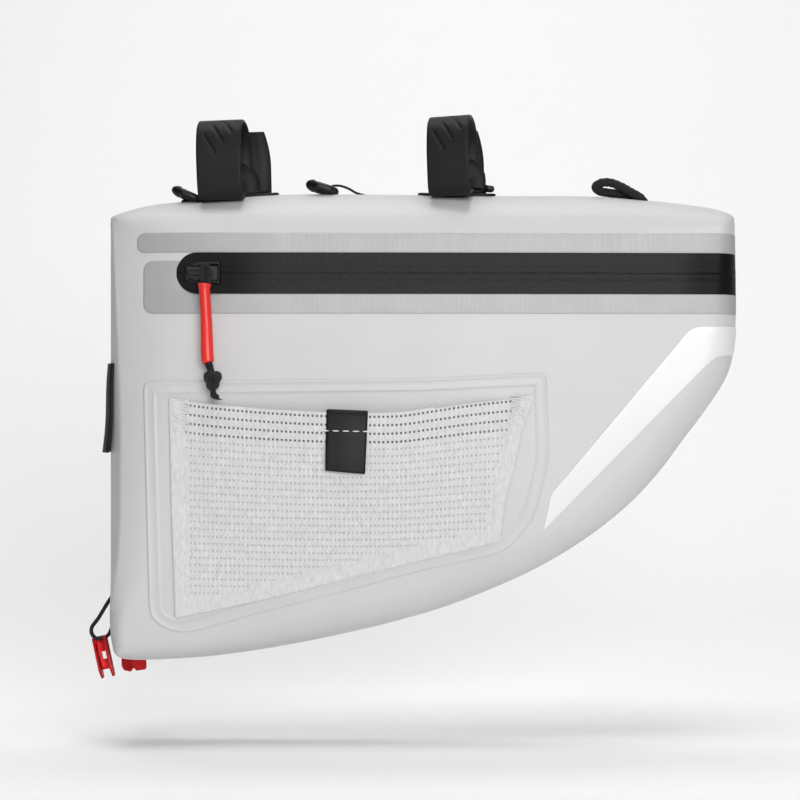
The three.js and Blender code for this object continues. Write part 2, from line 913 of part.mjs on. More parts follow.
// Strap loops round the tube
function smoothBand(table, ridge, steps) {
  const curve = new THREE.CatmullRomCurve3(
    table.map(
      ([y, z]) =>
        new THREE.Vector3(y * LOOP_HALF_DEPTH, ridge + z * LOOP_HEIGHT, 0),
    ),
    false,
    "centripetal",
  );
  return curve.getPoints(steps);
}

function tilted(solid, degrees, x, z) {
  return solid
    .translate([-x, 0, -z])
    .rotate([0, -degrees, 0])
    .translate([x, 0, z]);
}

function addStrapLoop({ name, side, tilt, behind, before }) {
  const centre = (side * STRAP_SPACING) / 2;
  const ridge = heightAt(ridgeLine, centre);
  const baseTop = CLEARANCE + BASE_THICK;
  const footIn = baseTop + CLEARANCE;
  const footprint = (left, right, near, far, corner) =>
    throughZ(
      roundedBox(left, right, near, far, [corner, corner, corner, corner]),
      ridge - BODY_HEIGHT / 2,
      ridge + LOOP_HEIGHT / 2,
    );
  const base = layer(CLEARANCE, baseTop).intersect(
    footprint(
      centre - behind,
      centre + before,
      -BASE_HALF_WIDTH,
      BASE_HALF_WIDTH,
      5,
    ),
  );
  addPiece(`strap_base_${name}`, base, colours.strap);
  const feet = layer(footIn, footIn + STRAP_THICK);
  const below = solidOf(offsetSkin(footIn));
  const halves = [
    ["near", NEAR_HALF, -1, STRAP_STEPS],
    ["far", FAR_HALF, 1, STRAP_STEPS / 2],
  ];
  for (const [half, table, way, steps] of halves) {
    const middle = centre + (way * STRAP_SKEW) / 2;
    const left = middle - STRAP_WIDTH / 2;
    const right = middle + STRAP_WIDTH / 2;
    const reach = [1, FOOT_HALF_WIDTH].map((y) => way * y).sort((a, b) => a - b);
    const foot = feet.intersect(footprint(left, right, ...reach, 0));
    const band = acrossX(
      bandOutline(smoothBand(table, ridge, steps), STRAP_THICK),
      left,
      right,
    );
    const strap = foot.add(tilted(band, tilt, middle, ridge)).subtract(below);
    addPiece(`strap_${name}_${half}`, largest(strap), colours.strap);
  }
}

// Moulded toggles that rest on the ridge: name, place along the ridge and off its middle, height over the
// ridge as a share of their seat, share of the full size, tilt, and whether a strap's base lies below
const TOGGLES = [
  {
    name: "toggle_rear",
    x: -STRAP_SPACING / 2 - TOGGLE_REAR_BEHIND_LOOP,
    y: -3,
    seat: 1,
    size: [1, 1, 1],
    tilt: 21,
    on: 1,
  },
  {
    name: "toggle_middle",
    x: -TOGGLE_MIDDLE_BEHIND_ORIGIN,
    y: 0,
    seat: 1,
    size: [1, 1, 1],
    tilt: 17,
    on: 0,
  },
  {
    name: "toggle_front",
    x: STRAP_SPACING / 2 + TOGGLE_FRONT_BEFORE_LOOP,
    y: -2.2,
    seat: 0.8,
    size: [0.3, 0.35, 0.8],
    tilt: 0,
    on: 1,
  },
];

function addToggles() {
  for (const { name, x, y, seat, size, tilt, on } of TOGGLES) {
    const z = heightAt(ridgeLine, x) + seat * TOGGLE_SEAT;
    const ball = stretchedBall(
      [0, 0, 0],
      [
        size[0] * TOGGLE_LENGTH,
        size[1] * TOGGLE_WIDTH,
        size[2] * TOGGLE_THICK,
      ],
      12,
      8,
    );
    const below = CLEARANCE + on * (BASE_THICK + CLEARANCE);
    const seated = ball
      .rotate([0, tilt, 0])
      .translate([x, y, z])
      .subtract(solidOf(offsetSkin(below)));
    addPiece(name, largest(seated), colours.plastic);
  }
}

// Strip on the tail that is welded at its top and stands off at its foot.
function addSideTab() {
  const top = RIDGE_Z - SIDE_TAB_BELOW_RIDGE;
  const bottom = top - SIDE_TAB_LENGTH;
  const flare = (x, z) => {
    const share = THREE.MathUtils.clamp((top - z) / SIDE_TAB_LENGTH, 0, 1);
    return SIDE_TAB_FLARE * share;
  };
  const strip = layer(
    (x, z) => CLEARANCE + flare(x, z),
    (x, z) => CLEARANCE + flare(x, z) + SIDE_TAB_THICK,
  );
  const outline = roundedBox(
    TAIL_X - 20,
    TAIL_X + EDGE_ROUND / 2,
    bottom,
    top,
    [0, 0, 0, 0],
  );
  const cut = strip.intersect(
    throughY(outline, -SIDE_TAB_WIDTH / 2, SIDE_TAB_WIDTH / 2),
  );
  addPiece("side_tab", largest(cut), colours.strap);
}

// Hook: a channel with a slot through its web and two prongs at its foot
function hookSolid() {
  const half = HOOK_WIDTH / 2;
  const channel = plane([
    [-half, 0],
    [half, 0],
    [half, HOOK_DEPTH],
    [half - HOOK_WALL, HOOK_DEPTH],
    [half - HOOK_WALL, HOOK_WALL],
    [-half + HOOK_WALL, HOOK_WALL],
    [-half + HOOK_WALL, HOOK_DEPTH],
    [-half, HOOK_DEPTH],
  ]);
  const prong = 5;
  const slotHigh = -HOOK_LENGTH * 0.38;
  const body = throughZ(channel, -HOOK_LENGTH, 0);
  const slot = throughY(
    roundedBox(-1.3, 1.3, slotHigh - 5, slotHigh, [0, 0, 0, 0]),
    -5,
    5,
  );
  const notch = throughY(
    roundedBox(
      -half + HOOK_WALL,
      half - HOOK_WALL,
      -HOOK_LENGTH - 1,
      -HOOK_LENGTH + prong,
      [0, 0, 0, 0],
    ),
    -5,
    5,
  );
  const slant = acrossX(
    plane([
      [HOOK_DEPTH * 0.45, -HOOK_LENGTH - 1],
      [HOOK_DEPTH + 1, -HOOK_LENGTH - 1],
      [HOOK_DEPTH + 1, -HOOK_LENGTH + 7],
    ]),
    -HOOK_WIDTH,
    HOOK_WIDTH,
  );
  return body.subtract(slot).subtract(notch).subtract(slant);
}

// Hooks on their cords: name, place of the eye's middle, turn about Z, lean about Y
const HOOKS = [
  {
    name: "hook_rear",
    eye: [-147.2, -0.5, -292.2],
    turn: 180,
    lean: -12,
    cord: "hook_cord_rear",
    route: REAR_HOOK_CORD_ROUTE,
  },
  {
    name: "hook_far",
    eye: [-133.6, 37.8, -292.2],
    turn: 197,
    lean: 0,
    cord: "hook_cord_far",
    route: FAR_HOOK_CORD_ROUTE,
  },
];

function addHooks() {
  for (const { name, eye, turn, lean, cord, route } of HOOKS) {
    const hook = hookSolid()
      .translate([0, -HOOK_DEPTH / 2, HOOK_EYE_BELOW_TOP])
      .rotate([0, 0, turn])
      .rotate([0, lean, 0])
      .translate(eye)
      .subtract(tube(route, HOOK_CORD + 2 * EYE_CLEARANCE, 8, 16));
    addPiece(name, largest(hook), colours.anodised);
    addPiece(cord, tube(route, HOOK_CORD, 8, 16), colours.cord);
  }
}

function addTopCords() {
  addPiece("loop_cord", tube(LOOP_CORD_ROUTE, LOOP_CORD, 10, 16), colours.cord);
  addPiece("top_cord", tube(TOP_CORD_ROUTE, TOP_CORD, 8, 12), colours.cord);
}

addBody();
addZip();
addFacings();
addStripe();
addPocket();
addPocketTab();
addSlider();
addPull();
LOOPS.forEach(addStrapLoop);
addToggles();
addTopCords();
addSideTab();
addHooks();

export default bag;
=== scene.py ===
import math

import bmesh
import bpy
import numpy as np
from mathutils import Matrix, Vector
from mathutils.geometry import delaunay_2d_cdt


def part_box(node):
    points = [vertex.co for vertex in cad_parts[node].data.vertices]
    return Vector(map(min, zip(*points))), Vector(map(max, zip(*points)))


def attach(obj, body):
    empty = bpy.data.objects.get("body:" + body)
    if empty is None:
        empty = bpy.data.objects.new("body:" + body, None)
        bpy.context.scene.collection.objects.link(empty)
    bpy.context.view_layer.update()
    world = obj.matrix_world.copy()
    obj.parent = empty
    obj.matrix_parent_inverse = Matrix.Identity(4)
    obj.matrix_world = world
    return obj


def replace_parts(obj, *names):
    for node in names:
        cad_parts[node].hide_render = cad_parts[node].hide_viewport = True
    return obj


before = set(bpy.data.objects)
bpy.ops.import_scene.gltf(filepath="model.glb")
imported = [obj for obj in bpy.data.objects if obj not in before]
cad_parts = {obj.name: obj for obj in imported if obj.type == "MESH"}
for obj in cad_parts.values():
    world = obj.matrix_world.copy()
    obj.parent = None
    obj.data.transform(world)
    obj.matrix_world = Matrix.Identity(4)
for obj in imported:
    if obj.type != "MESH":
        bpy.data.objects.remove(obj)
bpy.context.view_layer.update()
bpy.context.scene.view_settings.view_transform = "Standard"

MM = 0.001


def span(node):
    """Lowest and highest corner of a node of the frame, in millimetres."""
    low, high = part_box(node)
    return np.array(low) / MM, np.array(high) / MM


# Driving sizes, from the frame
body_low, body_high = span("body_shell")
TAIL_X = body_low[0]
NOSE_X = body_high[0] - 1.2
BODY_LENGTH = NOSE_X - TAIL_X
RIDGE_Z = body_high[2]
BODY_HEIGHT = RIDGE_Z - body_low[2]
HALF_WIDTH_TAIL = 27
HALF_WIDTH_NOSE = 21
PANEL_DOME = 4.5
CROWN_FALL = 16.2
SHOULDER_BELOW_RIDGE = 14.2
SHOULDER_Z = RIDGE_Z - SHOULDER_BELOW_RIDGE
EDGE_ROUND = 30
NOSE_BAND = 20

ZIP_HALF_WIDTH = 11.9
SEAM_Z = span("zip_tape_lower")[1][2]
ZIP_START = span("zip_tape_upper")[0][0]
FACING_WIDTH = 11.7

# Ridge from tail to nose: share of the body's length, share of the crown's fall
RIDGE = [
    (0, 0.84), (0.0625, 0.426), (0.1057, 0.302), (0.1585, 0.241), (0.2226, 0.074), (0.2882, 0),
    (0.639, 0.056), (0.7734, 0.074), (0.8535, 0.21), (0.9047, 0.327), (0.9624, 0.519),
    (0.9848, 0.68), (0.9945, 0.785), (0.9985, 0.87), (1, 1),
]

# Edge from the tail's top, round the belly, to the nose's top: share of the body's length, share of its
# height below the ridge, share of the edge's full rounding
EDGE = [
    (0, 0.05, 0.55), (0, 0.29, 0.8), (0, 0.783, 0.75), (0, 0.862, 0.5), (0.001, 0.93, 0.38),
    (0.0045, 0.965, 0.35), (0.0095, 0.987, 0.35), (0.021, 0.9985, 0.38), (0.1297, 0.998, 0.5),
    (0.2466, 0.9795, 0.6), (0.3795, 0.9449, 0.64), (0.4836, 0.9103, 0.64), (0.5637, 0.8757, 0.64),
    (0.6822, 0.8065, 0.64), (0.767, 0.7373, 0.64), (0.8311, 0.6681, 0.64), (0.8791, 0.5989, 0.64),
    (0.9175, 0.5297, 0.62), (0.956, 0.4605, 0.6), (0.988, 0.3914, 0.6), (1, 0.3243, 0.6),
    (1, 0.0584, 0.4),
]
FIRST_BELLY_ROW = 3
LAST_BELLY_ROW = 20
STEPS_PER_ROW = 12


def smooth_line(points, steps):
    """Points along a centripetal curve through the given ones, evenly spread over its spans."""
    points = np.asarray(points, float)
    held = np.vstack([2 * points[0] - points[1], points, 2 * points[-1] - points[-2]])
    made = []
    spans = len(points) - 1
    for i in range(steps + 1):
        place = min(i / steps * spans, spans - 1e-9)
        k = int(place)
        t = place - k
        p0, p1, p2, p3 = held[k:k + 4]
        d0, d1, d2 = (max(np.linalg.norm(b - a), 1e-8) ** 0.5 for a, b in ((p0, p1), (p1, p2), (p2, p3)))
        m1 = ((p1 - p0) / d0 - (p2 - p0) / (d0 + d1) + (p2 - p1) / d1) * d1
        m2 = ((p2 - p1) / d1 - (p3 - p1) / (d1 + d2) + (p3 - p2) / d2) * d1
        made.append(
            p1 * (2 * t**3 - 3 * t**2 + 1) + m1 * (t**3 - 2 * t**2 + t)
            + p2 * (3 * t**2 - 2 * t**3) + m2 * (t**3 - t**2)
        )
    return np.array(made)


ridge_line = smooth_line(
    [(TAIL_X + x * BODY_LENGTH, RIDGE_Z - fall * CROWN_FALL) for x, fall in RIDGE],
    (len(RIDGE) - 1) * STEPS_PER_ROW,
)
edge_line = smooth_line(
    [(TAIL_X + x * BODY_LENGTH, RIDGE_Z - z * BODY_HEIGHT, r * EDGE_ROUND) for x, z, r in EDGE],
    (len(EDGE) - 1) * STEPS_PER_ROW,
)
belly_line = edge_line[FIRST_BELLY_ROW * STEPS_PER_ROW:LAST_BELLY_ROW * STEPS_PER_ROW + 1]


def ridge_height(x):
    return np.interp(x, ridge_line[:, 0], ridge_line[:, 1])


def belly_height(x):
    return np.interp(x, belly_line[:, 0], belly_line[:, 1])


edge_start, edge_run = edge_line[:-1], np.diff(edge_line, axis=0)
edge_square = (edge_run[:, :2] ** 2).sum(1)


def nearest_edge(x, z):
    """Distance from the edge's line in the side view, and the rounding there."""
    places = np.stack([np.ravel(x), np.ravel(z)], 1)
    found = []
    for some in np.array_split(places, len(places) // 4000 + 1):
        off = some[:, None] - edge_start[:, :2]
        t = np.clip((off * edge_run[:, :2]).sum(2) / edge_square, 0, 1)
        gap = np.linalg.norm(off - t[..., None] * edge_run[:, :2], axis=2)
        near = gap.argmin(1)
        row = np.arange(len(near))
        found.append(np.stack([gap[row, near], edge_start[near, 2] + t[row, near] * edge_run[near, 2]]))
    distance, rounding = np.concatenate(found, 1)
    return distance.reshape(np.shape(x)), rounding.reshape(np.shape(x))


def round_off(distance, rounding):
    left = np.clip(1 - distance / rounding, 0, 1)
    return np.sqrt(np.maximum(1 - left * left, 0))


def crown_reach(x):
    return np.maximum(2.45 * (ridge_height(x) - SHOULDER_Z), 6)


# Welded corner between the panel and the tail: share of the height below the ridge, width of the corner's
# slanting band, the panel's share of its full width at the crease, how far in front of it the panel is
# full, and how far the corner replaces the plain rounding
CORNER_BAND = [
    (0.03, 3.2, 0.56, 44, 0), (0.08, 3.4, 0.56, 44, 1), (0.3, 6.6, 0.66, 38, 1), (0.49, 9.2, 0.75, 30, 1),
    (0.7, 9, 0.8, 23, 1), (0.79, 7.4, 0.82, 20, 1), (0.86, 4, 0.82, 16, 0.7), (0.9, 3, 0.8, 14, 0),
]
BAND_OUTER = 0.15
# Welded seam where the crown meets the panel
SHOULDER_CREASE = 0.4


def smooth_step(value, low, high):
    t = np.clip((np.asarray(value, float) - low) / (high - low), 0, 1)
    return t * t * (3 - 2 * t)


def tail_corner(x, z, plain):
    """The share of the full width near the tail, where a flat slanting band meets the panel at a crease."""
    below = (RIDGE_Z - z) / BODY_HEIGHT
    rows = np.array(CORNER_BAND)
    wide, inner, reach, share = (np.interp(below, rows[:, 0], rows[:, k]) for k in (1, 2, 3, 4))
    behind = np.maximum(x - TAIL_X, 0)
    band = BAND_OUTER + (inner - BAND_OUTER) * behind / wide
    on_panel = 1 - (1 - inner) * np.clip(1 - (behind - wide) / reach, 0, 1) ** 2
    soft = smooth_step(behind, wide - 0.9, wide + 0.9)
    corner = (band * (1 - soft) + on_panel * soft) * round_off(behind, 2)
    return plain + (corner - plain) * share * (1 - smooth_step(behind, 38, 54))


def half_width(x, z):
    """Half the body's width at a point of its side view."""
    x, z = np.asarray(x, float), np.asarray(z, float)
    top, bottom = ridge_height(x), belly_height(x)
    u = np.clip((x - TAIL_X) / BODY_LENGTH, 0, 1)
    v = np.clip((z - bottom) / (top - bottom), 0, 1)
    flat = HALF_WIDTH_TAIL + (HALF_WIDTH_NOSE - HALF_WIDTH_TAIL) * u
    dome = PANEL_DOME * np.sin(math.pi * u) * np.sin(math.pi * v)
    distance, rounding = nearest_edge(x, z)
    edge = tail_corner(x, z, round_off(distance, rounding))
    crease = SHOULDER_CREASE * np.exp(-(((z - SHOULDER_Z) / 1.7) ** 2)) * smooth_step(distance, 12, 45)
    return (flat + dome + crease) * round_off(top - z, crown_reach(x)) * edge


# The panel as a flat chart: its first coordinate is x, and runs on round the nose to the far side
CHART_TURN = NOSE_X - NOSE_BAND
CHART_NOSE = CHART_TURN + NOSE_BAND * math.pi / 2


def chart_point(a, z):
    a, z = np.asarray(a, float), np.asarray(z, float)
    turn = np.clip((a - CHART_TURN) / NOSE_BAND, 0, math.pi)
    x = np.where(a <= CHART_TURN, a, CHART_TURN + NOSE_BAND * np.sin(turn))
    side = np.where(turn <= math.pi / 2, -1, 1)
    return np.stack([x, side * half_width(x, z), z], -1)


def on_panel(a, z, rise=0.0):
    """Points over the panel at chart places, a distance outwards along its normal."""
    step = 0.4
    along = chart_point(a + step, z) - chart_point(a - step, z)
    up = chart_point(a, z + step) - chart_point(a, z - step)
    normal = np.cross(along, up)
    normal /= np.maximum(np.linalg.norm(normal, axis=-1, keepdims=True), 1e-9)
    return chart_point(a, z) + normal * np.asarray(rise, float)[..., None]


# Camera: level, square on the panel, at the eye point that the outline's perspective gives
EYE_MM = (32.4, -1000, -145.8)
LENS_MM = 75
SENSOR_MM = 36


def add_camera():
    data = bpy.data.cameras.new("camera")
    data.lens = LENS_MM
    data.sensor_width = SENSOR_MM
    data.dof.use_dof = False
    data.clip_start = 0.05
    data.clip_end = 50
    camera = bpy.data.objects.new("camera", data)
    camera.location = [v * MM for v in EYE_MM]
    camera.rotation_euler = (math.pi / 2, 0, 0)
    bpy.context.scene.collection.objects.link(camera)
    bpy.context.scene.camera = camera


add_camera()


# Materials
def srgb(code):
    """A hex colour as linear red, green, blue and alpha."""
    parts = [int(code[i:i + 2], 16) / 255 for i in (0, 2, 4)]
    return (*(c / 12.92 if c <= 0.04045 else ((c + 0.055) / 1.055) ** 2.4 for c in parts), 1)


def add_node(tree, kind, inputs=None, **settings):
    """Adds a node with its settings; inputs gives sockets a value or links them to another's output."""
    made = tree.nodes.new(kind)
    for name, value in settings.items():
        setattr(made, name, value)
    for name, value in (inputs or {}).items():
        if isinstance(value, bpy.types.NodeSocket):
            tree.links.new(value, made.inputs[name])
        else:
            made.inputs[name].default_value = value
    return made


def new_material(name, roughness, metallic=0.0, **sockets):
    """A material with its shader; the rest of its sockets are given by their names."""
    material = bpy.data.materials.new(name)
    material.use_nodes = True
    tree = material.node_tree
    tree.nodes.clear()
    shader = add_node(tree, "ShaderNodeBsdfPrincipled", {"Roughness": roughness, "Metallic": metallic})
    for socket, value in sockets.items():
        shader.inputs[socket.replace("_", " ")].default_value = value
    add_node(tree, "ShaderNodeOutputMaterial", {"Surface": shader.outputs["BSDF"]})
    return material, tree, shader


def object_mm(tree):
    """Object coordinates in millimetres."""
    place = add_node(tree, "ShaderNodeTexCoord")
    return add_node(
        tree, "ShaderNodeVectorMath", {0: place.outputs["Object"], 1: (1 / MM,) * 3}, operation="MULTIPLY"
    ).outputs[0]


def chart_mm(tree):
    """The piece's own map, in millimetres along and across it."""
    return add_node(tree, "ShaderNodeUVMap", uv_map="chart").outputs["UV"]


def noise(tree, place, size_mm, detail=3.0, stretch=(1, 1, 1)):
    """Noise whose lumps are about size_mm across."""
    scaled = add_node(
        tree, "ShaderNodeMapping", {"Vector": place, "Scale": tuple(s / size_mm for s in stretch)}
    )
    made = add_node(
        tree, "ShaderNodeTexNoise",
        {"Vector": scaled.outputs[0], "Scale": 1.0, "Detail": detail, "Roughness": 0.55},
    )
    return made.outputs["Fac"]


def blend_colours(tree, share, low, high):
    made = add_node(
        tree, "ShaderNodeMix", {0: share, 6: srgb(low), 7: srgb(high)}, data_type="RGBA"
    )
    return made.outputs[2]


ONE_RIDGE = math.pi / 10


def bands(tree, place, pitch_mm, turn=0.0, direction="X"):
    """Even ridges, one each pitch, across a direction."""
    scaled = add_node(
        tree, "ShaderNodeMapping", {"Vector": place, "Rotation": (0, 0, turn), "Scale": (1 / pitch_mm,) * 3}
    )
    made = add_node(
        tree, "ShaderNodeTexWave", {"Vector": scaled.outputs[0], "Scale": ONE_RIDGE, "Distortion": 0.0},
        wave_type="BANDS", bands_direction=direction, wave_profile="SIN",
    )
    return made.outputs["Fac"]


def combine(tree, operation, first, second):
    return add_node(tree, "ShaderNodeMath", {0: first, 1: second}, operation=operation).outputs[0]


def bump(tree, shader, height, depth_mm, strength=1.0):
    made = add_node(
        tree, "ShaderNodeBump", {"Height": height, "Distance": depth_mm * MM, "Strength": strength}
    )
    tree.links.new(made.outputs["Normal"], shader.inputs["Normal"])


def coated_nylon():
    """Nylon with a welded polyurethane coat: pale, faintly cloudy, with a soft sheen and a fine weave below."""
    material, tree, shader = new_material(
        "coated_nylon", 0.5, Coat_Weight=0.12, Coat_Roughness=0.45, Subsurface_Weight=0.06,
        Subsurface_Scale=0.002,
    )
    place = object_mm(tree)
    clouds = noise(tree, place, 60, 2.0)
    grain = noise(tree, place, 1.1, 2.0)
    mixed = combine(tree, "ADD", combine(tree, "MULTIPLY", clouds, 0.8), combine(tree, "MULTIPLY", grain, 0.2))
    tree.links.new(blend_colours(tree, mixed, "b6b6b6", "c2c2c2"), shader.inputs["Base Color"])
    bump(tree, shader, grain, 0.05, 0.5)
    return material


def along_chart(tree, start, end):
    """A share that grows from 0 to 1 between two places along the panel, in millimetres."""
    parts = add_node(tree, "ShaderNodeSeparateXYZ", {0: chart_mm(tree)})
    return add_node(
        tree, "ShaderNodeMapRange", {"Value": parts.outputs["X"], "From Min": start, "From Max": end},
        clamp=True, interpolation_type="SMOOTHSTEP",
    ).outputs[0]


def welded_facing():
    """Woven tape under a clear film, welded flat: greyer than the body, with the weave's uneven upright ribs.
    The film is thick and plain round the zip's closed end; round the nose the same plain, darker tone is painted shade,
    where the nose turns away from the light."""
    material, tree, shader = new_material("welded_facing", 0.55)
    place = chart_mm(tree)
    ribs = noise(tree, place, 1.5, 2.0, stretch=(1, 0.05, 1))
    picks = noise(tree, place, 1.4, 1.0, stretch=(0.2, 1, 1))
    cloud = noise(tree, place, 30, 2.0)
    weave = combine(tree, "ADD", combine(tree, "MULTIPLY", ribs, 0.8), combine(tree, "MULTIPLY", picks, 0.2))
    grain = noise(tree, place, 0.8, 1.0)
    mixed = combine(tree, "ADD", combine(tree, "MULTIPLY", weave, 0.45), combine(tree, "MULTIPLY", cloud, 0.3))
    mixed = combine(tree, "ADD", mixed, combine(tree, "MULTIPLY", grain, 0.25))
    # Falls to 0 at the tail end, where the film is thick and plain, and round the nose, where the plain darker tone is
    # painted shade
    weave_share_with_nose_shade = combine(tree, "MULTIPLY", along_chart(tree, -98, -30), along_chart(tree, 238, 200))
    steep = add_node(
        tree, "ShaderNodeMapRange", {"Value": mixed, "From Min": 0.3, "From Max": 0.7}, clamp=True
    ).outputs[0]
    woven = blend_colours(tree, steep, "9d9d9d", "b4b4b4")
    # The plain, darker tone: the thick film at the tail end, and painted shade round the nose
    plain = blend_colours(tree, cloud, "949494", "9e9e9e")
    tone = add_node(tree, "ShaderNodeMix", {0: weave_share_with_nose_shade, 6: plain, 7: woven}, data_type="RGBA")
    tree.links.new(tone.outputs[2], shader.inputs["Base Color"])
    bump(tree, shader, combine(tree, "MULTIPLY", weave, weave_share_with_nose_shade), 0.12, 0.6)
    return material


def zip_film():
    """Zip tape under a matt polyurethane film: near black, the twill showing through as fine slanted lines,
    drawn half as coarse again as they are so that they show. The film is thick and plain at the zip's closed end;
    towards the nose the same plain, darker tone is painted shade, where the nose turns away from the light."""
    material, tree, shader = new_material("zip_film", 0.5, Specular_IOR_Level=0.1)
    place = chart_mm(tree)
    twill = bands(tree, place, 1.7, math.radians(48))
    patches = noise(tree, place, 1.9, 3.0)
    patchy = add_node(
        tree, "ShaderNodeMapRange", {"Value": patches, "From Min": 0.45, "From Max": 0.65}, clamp=True
    ).outputs[0]
    # Falls to 0 at the tail end, where the film is thick and plain, and towards the nose, where the darker plain tone
    # is painted shade
    twill_share_with_nose_shade = combine(tree, "MULTIPLY", along_chart(tree, -70, -38), along_chart(tree, 211, 192))
    lines = combine(tree, "MULTIPLY", combine(tree, "MULTIPLY", twill, patchy), twill_share_with_nose_shade)
    ground = combine(tree, "MULTIPLY", twill_share_with_nose_shade, 0.42)
    tone = combine(tree, "ADD", combine(tree, "MULTIPLY", lines, 0.4), ground)
    tree.links.new(blend_colours(tree, tone, "0e0e0f", "373738"), shader.inputs["Base Color"])
    bump(tree, shader, lines, 0.14, 0.8)
    return material


def reflective_film():
    """Glass-bead reflective film: near white, smooth, with very fine beads."""
    material, tree, shader = new_material("reflective_film", 0.38, Coat_Weight=0.2, Coat_Roughness=0.3)
    place = object_mm(tree)
    beads = noise(tree, place, 0.7, 1.0)
    tree.links.new(blend_colours(tree, beads, "d2d2d2", "d9d9d9"), shader.inputs["Base Color"])
    bump(tree, shader, beads, 0.02, 0.4)
    return material


def coated_webbing():
    """Rubber-coated webbing: charcoal, satin, with a fine pebbled grain."""
    material, tree, shader = new_material("coated_webbing", 0.52, Specular_IOR_Level=0.2)
    place = object_mm(tree)
    grain = noise(tree, place, 0.8, 3.0)
    cloud = noise(tree, place, 16, 2.0)
    tree.links.new(blend_colours(tree, cloud, "0e0e0f", "191919"), shader.inputs["Base Color"])
    bump(tree, shader, grain, 0.05, 0.6)
    return material


def moulded_nylon():
    """Injection-moulded nylon: black, with the faint orange peel of a matt tool."""
    material, tree, shader = new_material("moulded_nylon", 0.38, Specular_IOR_Level=0.3)
    place = object_mm(tree)
    grain = noise(tree, place, 0.6, 2.0)
    tree.links.new(blend_colours(tree, grain, "0b0b0c", "151516"), shader.inputs["Base Color"])
    bump(tree, shader, grain, 0.03, 0.5)
    return material


def silicone_red():
    """Silicone sleeve: bright red, satin, slightly see-through so its edges glow."""
    material, tree, shader = new_material(
        "silicone_red", 0.38, Subsurface_Weight=0.25, Subsurface_Scale=0.0015,
        Subsurface_Radius=(1, 0.25, 0.15),
    )
    place = object_mm(tree)
    cloud = noise(tree, place, 5, 2.0)
    tree.links.new(blend_colours(tree, cloud, "cf241d", "db3229"), shader.inputs["Base Color"])
    bump(tree, shader, noise(tree, place, 0.9, 2.0), 0.03, 0.4)
    return material


def braided_polyester():
    """Braided cord: black, dull, each strand's crest painted a little lighter as a painted highlight."""
    material, tree, shader = new_material("braided_polyester", 0.8, Specular_IOR_Level=0.3, Sheen_Weight=0.08)
    place = chart_mm(tree)
    strands = bands(tree, place, 0.9, math.radians(45))
    # Strand crests painted lighter than the grooves between them: a painted highlight
    tree.links.new(blend_colours(tree, strands, "0c0c0d", "202021"), shader.inputs["Base Color"])
    bump(tree, shader, strands, 0.1, 0.6)
    return material


def knit_mesh():
    """Polyester warp knit: off-white, dull, with a soft fuzz of fibres."""
    material, tree, shader = new_material(
        "knit_mesh", 0.8, Sheen_Weight=0.2, Sheen_Roughness=0.5, Subsurface_Weight=0.08,
        Subsurface_Scale=0.001,
    )
    place = object_mm(tree)
    wales = noise(tree, place, 1.4, 1.0, stretch=(1, 1, 0.35))
    fibres = noise(tree, place, 0.5, 2.0)
    mixed = combine(tree, "ADD", combine(tree, "MULTIPLY", wales, 0.6), combine(tree, "MULTIPLY", fibres, 0.4))
    tree.links.new(blend_colours(tree, mixed, "a6a6a6", "dedede"), shader.inputs["Base Color"])
    bump(tree, shader, mixed, 0.2, 0.8)
    return material


def polyester_thread():
    """Bonded thread: white, slightly glossy."""
    material, tree, shader = new_material("polyester_thread", 0.5)
    fibres = noise(tree, object_mm(tree), 0.3, 1.0)
    tree.links.new(blend_colours(tree, fibres, "c6c6c6", "dadada"), shader.inputs["Base Color"])
    return material


def elastic_band():
    """Elastic in the pocket's hem: charcoal, ribbed, seen only through the mesh."""
    material, tree, shader = new_material("elastic_band", 0.85)
    ribs = bands(tree, object_mm(tree), 1.0)
    tree.links.new(blend_colours(tree, ribs, "4a4a4b", "5c5c5d"), shader.inputs["Base Color"])
    bump(tree, shader, ribs, 0.1, 0.6)
    return material


def anodised_aluminium():
    """Anodised aluminium: deep red, satin from tumbling, brighter where edges turn."""
    material, tree, shader = new_material("anodised_aluminium", 0.48, 0.7)
    place = object_mm(tree)
    blast = noise(tree, place, 0.5, 2.0)
    cloud = noise(tree, place, 7, 2.0)
    tree.links.new(blend_colours(tree, cloud, "a20d11", "b81517"), shader.inputs["Base Color"])
    bump(tree, shader, blast, 0.02, 0.5)
    return material


NYLON = coated_nylon()
FACING = welded_facing()
ZIP = zip_film()
FILM = reflective_film()
WEBBING = coated_webbing()
MOULDED = moulded_nylon()
SILICONE = silicone_red()
BRAID = braided_polyester()
KNIT = knit_mesh()
THREAD = polyester_thread()
ELASTIC = elastic_band()
ANODISED = anodised_aluminium()


# Mesh making
def add_piece(name, points_mm, faces, material, chart=None, smooth=True):
    """A piece from points in millimetres; chart gives each point its place on the piece's own map."""
    mesh = bpy.data.meshes.new(name)
    mesh.from_pydata([tuple(p) for p in np.asarray(points_mm) * MM], [], [tuple(f) for f in faces])
    mesh.validate()
    if chart is not None:
        layer = mesh.uv_layers.new(name="chart")
        corner = np.empty(len(mesh.loops), int)
        mesh.loops.foreach_get("vertex_index", corner)
        layer.data.foreach_set("uv", np.asarray(chart, np.float32)[corner].ravel())
    mesh.polygons.foreach_set("use_smooth", [smooth] * len(mesh.polygons))
    mesh.materials.append(material)
    mesh.update()
    piece = bpy.data.objects.new(name, mesh)
    bpy.context.scene.collection.objects.link(piece)
    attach(piece, "root")
    return piece


def join_parts(parts):
    """Several lists of points and faces as one; each part may hold a chart too."""
    points, faces, charts = [], [], []
    count = 0
    for part in parts:
        points.append(np.asarray(part[0], float))
        faces += [tuple(i + count for i in face) for face in part[1]]
        charts.append(np.asarray(part[2] if len(part) > 2 else np.zeros((len(part[0]), 2))))
        count += len(part[0])
    return np.vstack(points), faces, np.vstack(charts)


